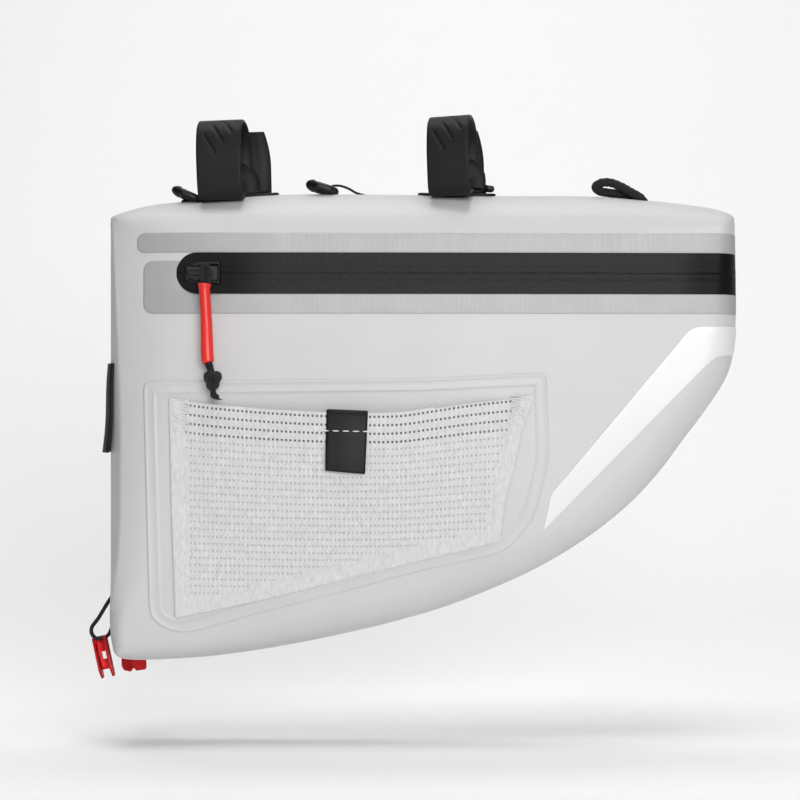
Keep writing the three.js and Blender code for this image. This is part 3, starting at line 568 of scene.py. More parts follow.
def grid_faces(columns, rows, first=0, closed=False, flip=False):
    """Quads over points laid out column by column; closed joins each column's end to its start."""
    faces = []
    for i in range(columns - 1):
        for j in range(rows if closed else rows - 1):
            k = (j + 1) % rows
            a, b = first + i * rows + j, first + (i + 1) * rows + j
            c, d = first + (i + 1) * rows + k, first + i * rows + k
            faces.append((a, d, c, b) if flip else (a, b, c, d))
    return faces


def places_along(path):
    """How far along a path each of its points lies."""
    return np.concatenate([[0], np.cumsum(np.linalg.norm(np.diff(path, axis=0), axis=1))])


def frames_along(path, side=None):
    """Directions and two side vectors along a path, turned as little as it allows."""
    path = np.asarray(path, float)
    run = np.gradient(path, axis=0)
    run /= np.linalg.norm(run, axis=1, keepdims=True)
    if side is None:
        side = np.cross(run[0], (0, 0, 1) if abs(run[0][2]) < 0.9 else (1, 0, 0))
        side /= np.linalg.norm(side)
    side = np.asarray(side, float)
    sides = []
    for direction in run:
        side = side - direction * side.dot(direction)
        side /= np.linalg.norm(side)
        sides.append(side)
    sides = np.array(sides)
    return run, sides, np.cross(run, sides)


def sweep(path, section, side=None):
    """A section carried along a path. section(i, s) gives points off the path as side and rise, in order."""
    run, sides, rise = frames_along(path, side)
    length = places_along(path)
    points, chart = [], []
    for i, centre in enumerate(np.asarray(path, float)):
        ring = np.asarray(section(i, length[i]))
        around = places_along(ring)
        points.append(centre + ring[:, :1] * sides[i] + ring[:, 1:] * rise[i])
        chart.append(np.stack([np.full(len(ring), length[i]), around], 1))
    rows = len(points[0])
    faces = grid_faces(len(points), rows, closed=True, flip=True)
    faces.append(tuple(reversed(range(rows))))
    last = (len(points) - 1) * rows
    faces.append(tuple(last + j for j in range(rows)))
    return np.vstack(points), faces, np.vstack(chart)


def circle(radius, sides, start=0.0):
    turn = start + np.arange(sides) * 2 * math.pi / sides
    return np.stack([radius * np.cos(turn), radius * np.sin(turn)], 1)


def rounded_outline(left, right, low, high, radii, steps=8):
    """Rounded rectangle, each corner with its own radius: low left, low right, high right, high left."""
    points = []
    corners = [
        (left, low, 1, 1, math.pi), (right, low, -1, 1, 1.5 * math.pi),
        (right, high, -1, -1, 0), (left, high, 1, -1, 0.5 * math.pi),
    ]
    for radius, (x, z, inward_x, inward_z, start) in zip(radii, corners):
        if radius <= 0:
            points.append((x, z))
            continue
        for i in range(steps + 1):
            turn = start + i / steps * math.pi / 2
            points.append((
                x + inward_x * radius + radius * math.cos(turn), z + inward_z * radius + radius * math.sin(turn)
            ))
    return np.array(points)


# Flat pieces that follow the panel
def resample(outline, cell):
    """A closed outline with points about a cell apart, its corners kept."""
    made = []
    for start, end in zip(outline, np.roll(outline, -1, axis=0)):
        parts = max(1, round(np.linalg.norm(end - start) / cell))
        made += [start + (end - start) * i / parts for i in range(parts)]
    return np.array(made)


def outline_distance(points, outline):
    """Distance of each point from a closed outline."""
    best = np.full(len(points), np.inf)
    for start, end in zip(outline, np.roll(outline, -1, axis=0)):
        run = end - start
        t = np.clip(((points - start) @ run) / max(run @ run, 1e-12), 0, 1)
        best = np.minimum(best, np.linalg.norm(points - start - t[:, None] * run, axis=1))
    return best


def inside_outline(points, outline):
    hit = np.zeros(len(points), bool)
    for (x0, z0), (x1, z1) in zip(outline, np.roll(outline, -1, axis=0)):
        if z0 == z1:
            continue
        across = ((z0 > points[:, 1]) != (z1 > points[:, 1])) & (
            points[:, 0] < (x1 - x0) * (points[:, 1] - z0) / (z1 - z0) + x0
        )
        hit ^= across
    return hit


def fill_outline(outline, rings, cell, fine, holes=()):
    """Triangles over an outline, with rows of points at the given distances from it."""
    loops = [resample(np.asarray(loop, float), fine) for loop in (outline, *holes)]
    whole = np.vstack(loops)

    def gap(points):
        return np.min([outline_distance(points, loop) for loop in loops], axis=0)

    def within(points):
        inside = inside_outline(points, loops[0])
        for loop in loops[1:]:
            inside &= ~inside_outline(points, loop)
        return inside

    free = []
    for loop in loops:
        run = np.roll(loop, -1, axis=0) - np.roll(loop, 1, axis=0)
        run /= np.linalg.norm(run, axis=1, keepdims=True)
        normal = np.stack([-run[:, 1], run[:, 0]], 1)
        for ring in rings:
            for way in (1, -1):
                moved = loop + way * ring * normal
                moved = moved[within(moved)]
                free.append(moved[gap(moved) > 0.93 * ring])
    low, high = whole.min(0), whole.max(0)
    lattice = np.stack(np.meshgrid(
        np.arange(low[0] + cell / 2, high[0], cell), np.arange(low[1] + cell / 2, high[1], cell)
    ), -1).reshape(-1, 2)
    lattice = lattice[within(lattice)]
    free.append(lattice[gap(lattice) > (max(rings) if len(rings) else 0) + 0.5 * cell])
    points = [*whole, *np.vstack(free)]
    edges = []
    count = 0
    for loop in loops:
        edges += [(count + i, count + (i + 1) % len(loop)) for i in range(len(loop))]
        count += len(loop)
    made = delaunay_2d_cdt([Vector(p) for p in points], edges, [], 0, 1e-4)
    flat = np.array([tuple(p) for p in made[0]])
    faces = np.array(made[2])
    centres = flat[faces].mean(1)
    faces = faces[within(centres)]
    a, b, c = (flat[faces[:, i]] for i in range(3))
    turn = (b[:, 0] - a[:, 0]) * (c[:, 1] - a[:, 1]) - (b[:, 1] - a[:, 1]) * (c[:, 0] - a[:, 0])
    faces[turn < 0] = faces[turn < 0][:, ::-1]
    used = np.unique(faces)
    renumber = np.full(len(flat), -1)
    renumber[used] = np.arange(len(used))
    flat = flat[used]
    return flat, renumber[faces], gap(flat)


def rim_edges(faces):
    """Edges that only one face has, in that face's direction."""
    seen = {}
    for face in faces:
        for i, j in zip(face, np.roll(face, -1)):
            seen[(i, j)] = seen.get((i, j), 0) + 1
    return [(i, j) for i, j in seen if (j, i) not in seen]


def panel_sheet(outline, height, rings, cell=3.0, fine=1.2, holes=(), under=-0.15, base=None):
    """A closed flat piece over the panel. height(distance, places) gives its outer face's rise, in mm."""
    flat, faces, distance = fill_outline(outline, rings, cell, fine, holes)
    top = on_panel(flat[:, 0], flat[:, 1], height(distance, flat))
    bottom_rise = np.full(len(flat), under) if base is None else base(distance, flat)
    bottom = on_panel(flat[:, 0], flat[:, 1], bottom_rise)
    count = len(flat)
    walls = [(j, i, i + count, j + count) for i, j in rim_edges(faces)]
    all_faces = [tuple(f) for f in faces] + [tuple(f[::-1] + count) for f in faces] + walls
    return np.vstack([top, bottom]), all_faces, np.vstack([flat, flat])


def edge_round(distance, thick, width):
    """Rise of a sheet of a thickness whose edge is rounded over a width."""
    left = np.clip(1 - distance / width, 0, 1)
    return thick * np.sqrt(np.maximum(1 - left * left, 0))


def bead(distance, at, width):
    """A rounded line at a distance from the edge, from 0 to 1."""
    return np.exp(-(((distance - at) / width) ** 2))


# Body
def stations(start, end, start_band, end_band, start_cells, mid_cells, end_cells):
    """Places that crowd towards both ends, where the surface turns."""
    first = [start + start_band * (1 - math.cos(i / start_cells * math.pi / 2)) for i in range(start_cells)]
    last = [end - end_band * (1 - math.cos(i / end_cells * math.pi / 2)) for i in range(end_cells)]
    middle = np.linspace(start + start_band, end - end_band, mid_cells + 1)
    return np.array([*first, *middle, *reversed(last)])


def add_body():
    columns = stations(TAIL_X, NOSE_X, 22, NOSE_BAND, 22, 118, 22)
    rows = 0
    grid = []
    for x in columns:
        top, bottom = ridge_height(x), belly_height(x)
        slope = 0 if x < TAIL_X + 22 else (belly_height(x + 2) - belly_height(x - 2)) / 4
        low_band = min(EDGE_ROUND * math.hypot(1, slope), 0.45 * (top - bottom))
        high_band = min(float(crown_reach(x)), 0.4 * (top - bottom))
        places = stations(bottom, top, low_band, high_band, 20, 62, 20)
        rows = len(places)
        grid.append(np.stack([np.full(rows, x), places], 1))
    grid = np.array(grid)
    wide = half_width(grid[..., 0], grid[..., 1])
    wide[0] = wide[-1] = 0
    wide[:, 0] = wide[:, -1] = 0
    near = np.stack([grid[..., 0], -wide, grid[..., 1]], -1).reshape(-1, 3)
    far = np.stack([grid[..., 0], wide, grid[..., 1]], -1).reshape(-1, 3)
    count = len(near)
    faces = grid_faces(len(columns), rows) + grid_faces(len(columns), rows, count, flip=True)
    piece = add_piece("welded_body", np.vstack([near, far]), faces, NYLON)
    shape = bmesh.new()
    shape.from_mesh(piece.data)
    bmesh.ops.remove_doubles(shape, verts=shape.verts, dist=0.02 * MM)
    shape.to_mesh(piece.data)
    shape.free()
    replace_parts(piece, "body_shell")
    return piece


body = add_body()


# Cords: routes in millimetres, as the frame's own tubes run
PULL_ROUTE = [
    (-79.8, -36.6, -72.2), (-80.3, -36.6, -76), (-80.6, -36.6, -80), (-80.1, -36.6, -90),
    (-79.5, -36.6, -102), (-79.2, -36.8, -114), (-78.8, -37, -122), (-77.4, -37.4, -127.2),
]
TOP_ROUTE = [
    (21, 16.8, -30.4), (18.5, 12.5, -25.7), (14.5, 7, -23.3), (10.5, 3, -22.5), (6, 1, -21.4),
    (1.6, 0.2, -19), (-3, 0, -17.4), (-6.5, 0, -17.2), (-9.5, 0, -17.9), (-12.5, 0, -19.2),
]
LOOP_ROUTE = [
    (180, -2.2, -30), (176.5, -2.5, -25), (170.5, -2.6, -21.4), (164, -2, -17.7), (157.5, -1, -15.4),
    (152, -0.3, -16), (149.8, 0.3, -18.1), (152, 1, -20.2), (157, 1.8, -21.2), (164, 2.4, -22),
    (171, 2.6, -23.2), (176.5, 2.6, -25.8), (180, 2.4, -30.3),
]
REAR_HOOK_ROUTE = [
    (-140, 10.7, -262), (-144, 7, -268), (-149, 2.5, -277), (-152.6, 0, -282.5), (-152.4, -0.3, -286),
    (-150.3, -0.4, -288.4), (-147.8, -0.4, -288.7), (-145, -0.4, -288.4), (-142.4, 0.6, -286.4),
    (-141, 3, -282.6), (-139.4, 7.3, -277.6),
]
FAR_HOOK_ROUTE = [
    (-133.3, 21.2, -262), (-137.5, 28, -270), (-139.5, 33, -279), (-139.8, 35.5, -286),
    (-138.4, 36.6, -290.5), (-135.5, 37.2, -292.2), (-132, 38.2, -292.2), (-129.4, 38.2, -289.5),
    (-127.7, 36, -283), (-126.7, 31, -276), (-126.2, 26.8, -270),
]
TOP_CORD = 1.5
LOOP_CORD = 5.4
HOOK_CORD = 2.4


def run_length(path):
    return float(places_along(path)[-1])


def braid(turn, along, strands, pitch):
    """Height of a plaited surface, from 0 to 1, round a cord and along it."""
    phase = along / pitch * 2 * math.pi
    one = np.sin(strands * turn + phase)
    two = np.sin(strands * turn - phase)
    return np.maximum(np.maximum(one, two), 0) ** 0.7


def braided(path, radius, sides, strands, pitch, depth, ends=1.0):
    """A plaited cord along a path, each end drawn in a little."""
    total = run_length(path)
    turn = np.arange(sides) * 2 * math.pi / sides

    def section(i, s):
        end = min(s, total - s) / radius
        draw = 1 if end > 1 else ends + (1 - ends) * math.sqrt(max(1 - (1 - end) ** 2, 0))
        r = draw * (radius - depth + depth * braid(turn, s, strands, pitch))
        return np.stack([r * np.cos(turn), r * np.sin(turn)], 1)

    return sweep(path, section)


def flat_cord(path, width, thick, sides=14):
    """An elastic band along a path, its broad side turned towards the camera."""
    turn = np.arange(sides) * 2 * math.pi / sides

    def section(i, s):
        rib = 1 + 0.05 * math.sin(s * 4.2)
        return np.stack([0.5 * thick * rib * np.cos(turn), 0.5 * width * np.sin(turn)], 1)

    return sweep(path, section)


def offset_path(path, amount, axis):
    """The path moved sideways, square on itself and on an axis."""
    run = np.gradient(path, axis=0)
    side = np.cross(run, axis)
    side /= np.linalg.norm(side, axis=1, keepdims=True)
    return path + side * amount


SLEEVE_WIDTH = 6.9
SLEEVE_START = 6.2
SLEEVE_LENGTH = 46
KNOT_WIDTH = 11.8
KNOT_DEPTH = 9
KNOT_HEIGHT = 13.4


def part_of_path(path, start, length, steps):
    """Even points of a path between two distances along it."""
    along = np.concatenate([[0], np.cumsum(np.linalg.norm(np.diff(path, axis=0), axis=1))])
    places = np.linspace(start, start + length, steps)
    return np.stack([np.interp(places, along, path[:, k]) for k in range(3)], 1)


def add_sleeve(path):
    """Silicone sleeve, its rim flared where it was cut and pushed up to the slider."""
    inside = 2.3
    stops = [(0.3, inside), (0, 2.9), (0.12, 3.75), (0.5, 3.95), (1.1, 3.85), (2.4, 3.5), (5, 3.42)]
    stops += [(8 + 4 * k, 3.4 + 0.05 * math.sin(k * 1.9)) for k in range(8)]
    stops += [(42.5, 3.45), (44.5, 3.55), (45.6, 3.5), (46, 3.1), (45.7, inside)]
    turn = np.arange(24) * 2 * math.pi / 24
    line = part_of_path(path, SLEEVE_START, SLEEVE_LENGTH, 93)
    centre = np.stack([np.interp([s for s, r in stops], np.linspace(0, SLEEVE_LENGTH, 93), line[:, k])
                       for k in range(3)], 1)
    run, side, rise = frames_along(line)
    row = [min(int(s / SLEEVE_LENGTH * 92), 92) for s, r in stops]
    points, chart = [], []
    for (s, radius), middle, k in zip(stops, centre, row):
        squash = 1 + 0.06 * math.sin(s * 0.13)
        for t in turn:
            points.append(
                middle + radius * squash * math.cos(t) * side[k] + radius / squash * math.sin(t) * rise[k]
            )
            chart.append((s, radius * t))
    faces = grid_faces(len(stops), len(turn), closed=True, flip=True)
    faces.append(tuple(reversed(range(len(turn)))))
    faces.append(tuple((len(stops) - 1) * len(turn) + j for j in range(len(turn))))
    piece = add_piece("red_sleeve", np.array(points), faces, SILICONE, chart=np.array(chart))
    finish_closed(piece)
    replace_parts(piece, "pull_sleeve")
    return piece


def add_knot(path):
    """Overhand knot pulled tight, with its two cut ends below it."""
    low, high = span("pull_knot")
    centre = np.array((0.5 * (low[0] + high[0]), 0.5 * (low[1] + high[1]), high[2] - KNOT_HEIGHT / 2))
    cord = 2.15
    t = np.linspace(0, 2 * math.pi, 150, endpoint=False) + 0.4
    reach = np.array(((KNOT_WIDTH / 2 - cord) / 3, (KNOT_DEPTH / 2 - cord) / 1.0, (KNOT_HEIGHT / 2 - cord) / 3))
    crossing = np.stack([
        np.sin(t) + 2 * np.sin(2 * t), -np.sin(3 * t) * 1.05, np.cos(t) - 2 * np.cos(2 * t)
    ], 1) * reach + centre
    looped = np.vstack([crossing, crossing[:2]])
    parts = [braided(looped, cord, 14, 4, 3.2, 0.28)]
    heart = np.array([centre + (0, 0, 4.4 - 0.9 * k) for k in range(11)])
    parts.append(braided(heart, 2.3, 12, 4, 3.2, 0.2, 0.5))
    top = np.vstack([path[-1] + (-0.3, 0.2, 1.4), centre + (-0.4, 0, 3)])
    parts.append(braided(smooth_line(top, 8), 2.1, 12, 4, 3.2, 0.2, 0.5))
    for lean, reach_out, radius in ((0.5, 2.8, 1.7), (-0.7, 1.6, 1.4)):
        end = smooth_line([
            centre + (0, 0, -3), centre + (0.2 + lean * 0.3, -0.3, -6.6),
            centre + (0.7 + lean, -0.5, -9), centre + (reach_out + 0.5, -0.6, -10.6),
        ], 30)
        parts.append(braided(end, radius, 12, 3, 2.6, 0.2, 0.8))
        tip = end[-1]
        run = end[-1] - end[-3]
        run /= np.linalg.norm(run)
        for k in range(9):
            spread = np.array((math.cos(k * 2.4), math.sin(k * 2.4) * 0.8, -0.2)) * (0.25 + 0.09 * k)
            fibre = smooth_line([tip - run + spread * 0.6, tip + run * 0.7 + spread, tip + run * 1.4 + spread * 1.7], 4)
            parts.append(sweep(fibre, lambda i, s: circle(0.2 - 0.03 * i, 5)))
    points, faces, chart = join_parts(parts)
    piece = add_piece("overhand_knot", points, faces, BRAID, chart=chart)
    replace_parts(piece, "pull_knot")
    return piece


def add_pull():
    """Doubled cord through the sleeve, with an open bow over the slider's bridge."""
    path = smooth_line(PULL_ROUTE, 90)
    strand = 1.12
    left = offset_path(path, -strand, (0, 1, 0))
    right = offset_path(path, strand, (0, 1, 0))
    middle = 0.5 * (left[0] + right[0])
    over = [middle + 0.5 * (right[0] - left[0]) * side + (0, -0.3, up)
            for side, up in ((-1, 0), (-0.7, 1), (0, 1.5), (0.7, 1), (1, 0))]
    both = np.vstack([left[::-1], smooth_line(over, 12)[1:-1], right])
    piece = add_piece_from("pull_strands", braided(both, strand, 12, 4, 2.4, 0.14), BRAID)
    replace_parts(piece, "pull_cord")
    bow = smooth_line([
        middle + (x, y, z) for x, y, z in
        ((-1.1, -0.3, -6.5), (-1.9, -1, -3.5), (-2.3, -1.2, 0), (-1.7, -1.1, 3), (0, -0.9, 4.5),
         (1.7, -0.7, 3), (2.3, -0.6, 0), (1.9, -0.6, -3.5), (1.1, -0.2, -6.5))
    ], 44)
    parts = [
        add_sleeve(path), add_knot(path),
        add_piece_from("pull_bow", braided(bow, 1.35, 12, 4, 2.6, 0.2), BRAID),
    ]


def add_top_cord():
    path = smooth_line(TOP_ROUTE, 56)
    piece = add_piece_from("shock_cord", braided(path, TOP_CORD / 2, 10, 3, 1.6, 0.08), BRAID)
    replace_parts(piece, "top_cord")


def add_loop_cord():
    path = smooth_line(LOOP_ROUTE, 150)
    piece = add_piece_from(
        "braided_loop", braided(path, LOOP_CORD / 2, 28, 6, 3.2, 0.5), BRAID
    )
    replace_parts(piece, "loop_cord")


def add_piece_from(name, made, material):
    """A piece from a sweep's points, faces and chart."""
    return add_piece(name, made[0], made[1], material, chart=made[2])


def add_hooks():
    for node, route in (("rear", REAR_HOOK_ROUTE), ("far", FAR_HOOK_ROUTE)):
        hook = add_far_hook() if node == "far" else softened_copy(
            "hook_rear", "channel_hook_rear", ANODISED, 0.28, 0.92
        )
        path = smooth_line(route, 110)
        piece = add_piece_from(
            f"elastic_loop_{node}", flat_cord(path, HOOK_CORD * 1.08, HOOK_CORD * 0.62), BRAID
        )
        finish_closed(piece)
        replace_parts(piece, f"hook_cord_{node}")


def add_far_hook():
    """The far hook, turned so that its folded web faces the camera: two wings that meet at a fold."""
    low, high = span("hook_far")
    bottom, top = low[2] - 0.4, high[2]
    outline = np.array([
        (-8.2, bottom + 3.4), (-6.6, bottom + 0.8), (-1.8, bottom), (-0.9, bottom + 1.2), (0.4, bottom + 2.6),
        (1.6, bottom + 0.9), (2.6, bottom + 0.7), (7.6, bottom + 1.2), (8.2, bottom + 2.4), (7.4, top - 1),
        (6.2, top), (-7.6, top), (-8.6, top - 1.4),
    ])
    flat, faces, distance = fill_outline(round_corners(outline, [0.8] * len(outline)), [0.25, 0.6], 1.6, 0.8)
    middle = 0.5 * (low + high)
    fold = np.abs(flat[:, 0]) * 0.32
    skins = []
    for skin in (-1, 1):
        deep = middle[1] + fold + skin * (0.35 + edge_round(distance, 0.5, 0.6))
        skins.append(np.column_stack([middle[0] + flat[:, 0] * 0.95, deep, flat[:, 1]]))
    made = closed_sheet(skins[0], skins[1], flat, faces)
    piece = add_piece_from("channel_hook_far", made, ANODISED)
    finish_closed(piece)
    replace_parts(piece, "hook_far")
    return piece


def softened_copy(node, name, material, width, scale):
    """A CAD piece's own shape, a little slimmer, with its edges broken as tumbling leaves them."""
    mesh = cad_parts[node].data.copy()
    mesh.name = name
    shape = bmesh.new()
    shape.from_mesh(mesh)
    bmesh.ops.remove_doubles(shape, verts=shape.verts, dist=0.02 * MM)
    bmesh.ops.dissolve_limit(shape, angle_limit=math.radians(4), verts=shape.verts, edges=shape.edges)
    low, high = span(node)
    hung = Vector((0.5 * (low[0] + high[0]), 0.5 * (low[1] + high[1]), high[2])) * MM
    for vertex in shape.verts:
        vertex.co = hung + (vertex.co - hung) * scale
    shape.to_mesh(mesh)
    shape.free()
    mesh.materials.clear()
    mesh.materials.append(material)
    mesh.polygons.foreach_set("use_smooth", [True] * len(mesh.polygons))
    piece = bpy.data.objects.new(name, mesh)
    bpy.context.scene.collection.objects.link(piece)
    edge = piece.modifiers.new("broken_edges", "BEVEL")
    edge.width = width * MM
    edge.segments = 2
    edge.limit_method = "ANGLE"
    edge.angle_limit = math.radians(35)
    edge.harden_normals = True
    graph = bpy.context.evaluated_depsgraph_get()
    rounded = bpy.data.meshes.new_from_object(piece.evaluated_get(graph))
    piece.modifiers.clear()
    piece.data = rounded
    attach(piece, "root")
    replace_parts(piece, node)
    return piece


def finish_closed(piece):
    """Joins a closed mesh's doubled points and turns its faces outwards."""
    shape = bmesh.new()
    shape.from_mesh(piece.data)
    bmesh.ops.remove_doubles(shape, verts=shape.verts, dist=0.005 * MM)
    bmesh.ops.recalc_face_normals(shape, faces=shape.faces)
    shape.to_mesh(piece.data)
    shape.free()


# Moulded toggles on the ridge: node, length, width, thickness, tilt in degrees
TOGGLES = [
    ("toggle_rear", "cord_lock_rear", 21.5, 12, 7, 21),
    ("toggle_middle", "cord_lock_middle", 20.5, 12, 7.8, 14),
    ("toggle_front", "cord_lock_front", 6.4, 4.6, 4.8, 0),
]


def toggle_shape(length, width, thick):
    """A flat oval moulding: a swollen head, a thinner foot, and a finger groove along its face."""
    points, chart = [], []
    sides, steps = 32, 44
    turn = np.arange(sides) * 2 * math.pi / sides
    for i in range(steps + 1):
        u = i / steps
        end = math.sqrt(max(1 - abs(2 * u - 1) ** 3, 0.0004))
        head = 1.06 - 0.12 * smooth_step(u, 0.15, 0.5)
        waist = 1 - 0.08 * math.exp(-(((u - 0.3) / 0.03) ** 2))
        lift = 0.03 * thick * math.cos(math.pi * u)
        dish = 0.13 * thick * smooth_step(u, 0.2, 0.34) * (1 - smooth_step(u, 0.8, 0.92))
        for t in turn:
            c, s = math.cos(t), math.sin(t)
            round_c = math.copysign(abs(c) ** 0.8, c)
            round_s = math.copysign(abs(s) ** 0.75, s)
            points.append((
                (u - 0.5) * length, 0.5 * width * end * waist * round_c - dish * max(-c, 0) ** 2 * 2.4,
                0.5 * thick * end * head * waist * round_s + lift - dish * max(s, 0) ** 4,
            ))
            chart.append((u * length, t))
    faces = grid_faces(steps + 1, sides, closed=True, flip=True)
    faces.append(tuple(reversed(range(sides))))
    faces.append(tuple(steps * sides + j for j in range(sides)))
    return np.array(points), faces, np.array(chart)


def add_toggles():
    made = {}
    for node, name, length, width, thick, tilt in TOGGLES:
        low, high = span(node)
        centre = 0.5 * (low + high)
        points, faces, chart = toggle_shape(length, width, thick)
        lean = math.radians(tilt)
        x = points[:, 0] * math.cos(lean) + points[:, 2] * math.sin(lean)
        z = -points[:, 0] * math.sin(lean) + points[:, 2] * math.cos(lean)
        placed = np.stack([x, points[:, 1], z], 1) + (centre[0] + 1.8, centre[1], high[2] - z.max() + 1.4)
        piece = add_piece(name, placed, faces, MOULDED, chart=chart)
        finish_closed(piece)
        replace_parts(piece, node)
        made[node] = piece
    return made


# Zip, facings and stripe
FILM_RISE = 0.3


def chart_of(x):
    """Chart place of a point of the near side."""
    turned = max(min((x - CHART_TURN) / NOSE_BAND, 1), 0)
    return x if x <= CHART_TURN else CHART_TURN + NOSE_BAND * math.asin(turned)


def chart_past_nose(z, reach):
    """Chart place on the far side, a distance behind the nose's middle plane."""
    places = np.linspace(CHART_NOSE, CHART_NOSE + NOSE_BAND, 200)
    return float(np.interp(reach, chart_point(places, np.full(200, z))[:, 1], places))


ZIP_END = chart_past_nose(SEAM_Z, span("zip_tape_upper")[1][1])
FACING_END = chart_past_nose(SEAM_Z, span("facing_upper")[1][1])


def arc(centre, radius, start, end, steps):
    """Points of an arc, its angles in degrees."""
    turn = np.radians(np.linspace(start, end, steps))
    return np.stack([centre[0] + radius * np.cos(turn), centre[1] + radius * np.sin(turn)], 1)


def add_facings():
    gap = ZIP_HALF_WIDTH + 0.1
    round_end = FACING_WIDTH / 2 - 1

    def rise(distance, flat):
        nose = smooth_step(flat[:, 0], CHART_TURN, CHART_NOSE)
        return (0.15 + edge_round(distance, 0.42, 1.6) + 0.05 * bead(distance, 1.2, 0.7)) * (1 - 0.7 * nose)

    low = SEAM_Z + gap
    start = span("facing_upper")[0][0]
    upper = rounded_outline(start, FACING_END, low, low + FACING_WIDTH, [round_end, 0, 0, round_end])
    made = panel_sheet(upper, rise, [0.3, 0.8, 1.6], cell=3.2)
    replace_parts(add_piece_from("welded_facing_upper", made, FACING), "facing_upper")

    bottom = SEAM_Z - gap - FACING_WIDTH
    top = SEAM_Z + 7.3
    start = span("facing_lower")[0][0]
    corner = FACING_WIDTH / 2
    zip_centre = (ZIP_START + ZIP_HALF_WIDTH, SEAM_Z)
    leave = 180 - math.degrees(math.asin(7.3 / (gap + 0.3)))
    lower = np.vstack([
        arc((start + corner, bottom + corner), corner, 180, 270, 8),
        [(FACING_END, bottom), (FACING_END, SEAM_Z - gap)],
        arc(zip_centre, gap + 0.3, 270, leave, 22),
        arc((start + corner, top - corner), corner, 90, 180, 8),
    ])
    made = panel_sheet(lower, rise, [0.3, 0.8, 1.6], cell=3.2)
    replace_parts(add_piece_from("welded_facing_lower", made, FACING), "facing_lower")


def zip_rise(distance, flat):
    """The film over the coil: a low swell each side of the seam, with a pressed line where the coil is sewn."""
    off = np.abs(flat[:, 1] - SEAM_Z)
    coil = 0.26 * np.exp(-(((off - 1.9) / 2) ** 4))
    sewn = -0.1 * np.exp(-(((off - 4.7) / 0.6) ** 2))
    groove = -0.1 * np.exp(-((off / 0.5) ** 2))
    nose = smooth_step(flat[:, 0], CHART_TURN, CHART_NOSE)
    return (0.28 + coil + sewn + groove) * (1 - 0.7 * nose)


def add_zip():
    outer = ZIP_HALF_WIDTH + 0.2
    reach = outer - 0.02
    halves = [
        ("zip_film_upper", "zip_tape_upper", SEAM_Z + 0.02, SEAM_Z + outer, [0, 0, 0, reach]),
        ("zip_film_lower", "zip_tape_lower", SEAM_Z - outer, SEAM_Z - 0.02, [reach, 0, 0, 0]),
    ]
    rings = [0.25, 0.5, 0.9, 1.5, 2.3, 3.2, 4.2, 4.7, 5.2]
    for name, node, low, high, radii in halves:
        outline = rounded_outline(ZIP_START, ZIP_END, low, high, radii, 14)
        made = panel_sheet(outline, zip_rise, rings, cell=2.4)
        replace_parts(add_piece_from(name, made, ZIP), node)


STRIPE = [
    (0.6882, 0.72), (0.7003, 0.6425), (0.7112, 0.6256), (0.9226, 0.288), (1.04, 0.288), (1.04, 0.326),
    (0.9925, 0.3485), (0.9613, 0.3492),
]


def round_corners(points, radii, steps=6):
    """A closed outline whose corners are cut by curves of about the given sizes."""
    made = []
    for i, here in enumerate(points):
        here = np.array(here, float)
        before, after = np.array(points[i - 1], float), np.array(points[(i + 1) % len(points)], float)
        reach = min(radii[i], 0.45 * np.linalg.norm(before - here), 0.45 * np.linalg.norm(after - here))
        if reach < 0.05:
            made.append(here)
            continue
        start = here + (before - here) / np.linalg.norm(before - here) * reach
        end = here + (after - here) / np.linalg.norm(after - here) * reach
        for t in np.linspace(0, 1, steps + 1):
            made.append((1 - t) ** 2 * start + 2 * t * (1 - t) * here + t * t * end)
    return np.array(made)


def add_stripe():
    places = [
        (FACING_END if x > 1 else chart_of(TAIL_X + x * BODY_LENGTH), RIDGE_Z - z * BODY_HEIGHT)
        for x, z in STRIPE
    ]
    outline = round_corners(places, [0.6, 4, 4, 6, 0, 1, 3, 7])
    made = panel_sheet(
        outline, lambda d, flat: 0.2 + edge_round(d, 0.25, 0.7), [0.2, 0.45, 0.7], cell=3
    )
    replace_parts(add_piece_from("stripe_film", made, FILM), "reflective_stripe")


# Slider: one moulding over the zip's closed end, as heights over the panel
SLIDER_LENGTH = 21.5
SLIDER_WIDTH = 13
SLIDER_START = ZIP_START + 4.5


def slider_height(distance, flat):
    x = flat[:, 0] - SLIDER_START
    z = flat[:, 1] - SEAM_Z
    slab = 1.0 + edge_round(distance, 0.8, 0.8)
    oval = np.hypot((x - 7.2) / 7.4, z / 6.2)
    housing = 2.6 * (1 - smooth_step(oval, 0.62, 1.02))
    slot = np.hypot(np.maximum(np.abs(x - 7.2) - 3.6, 0), (z - 2.7) * 1.05)
    recess = -3.4 * (1 - smooth_step(slot, 1.15, 1.6))
    lip = 0.6 * np.exp(-(((slot - 1.95) / 0.4) ** 2))
    ledge = -1.1 * (1 - smooth_step(np.hypot(np.maximum(np.abs(x - 6.6) - 3.2, 0), z + 2.6), 0.7, 1.5))
    wall = np.maximum(np.abs(x - 17.1) / 4.1, np.abs(z) / 6.1)
    in_wall = smooth_step(wall, 0.72, 0.8) * (1 - smooth_step(wall, 0.97, 1.04)) * (x > 12.5)
    floor = -0.95 * (1 - smooth_step(wall, 0.7, 0.78)) * (x > 12.5)
    post = 2.8 * (1 - smooth_step(np.maximum(np.abs(x - 13.9) / 1.5, np.abs(z + 0.3) / 4.6), 0.85, 1.1))
    return slab + np.maximum(housing + recess * (housing > 0.6) + lip * (housing > 0.6) + ledge * (housing > 1.5),
                             post) + 2.3 * in_wall + floor


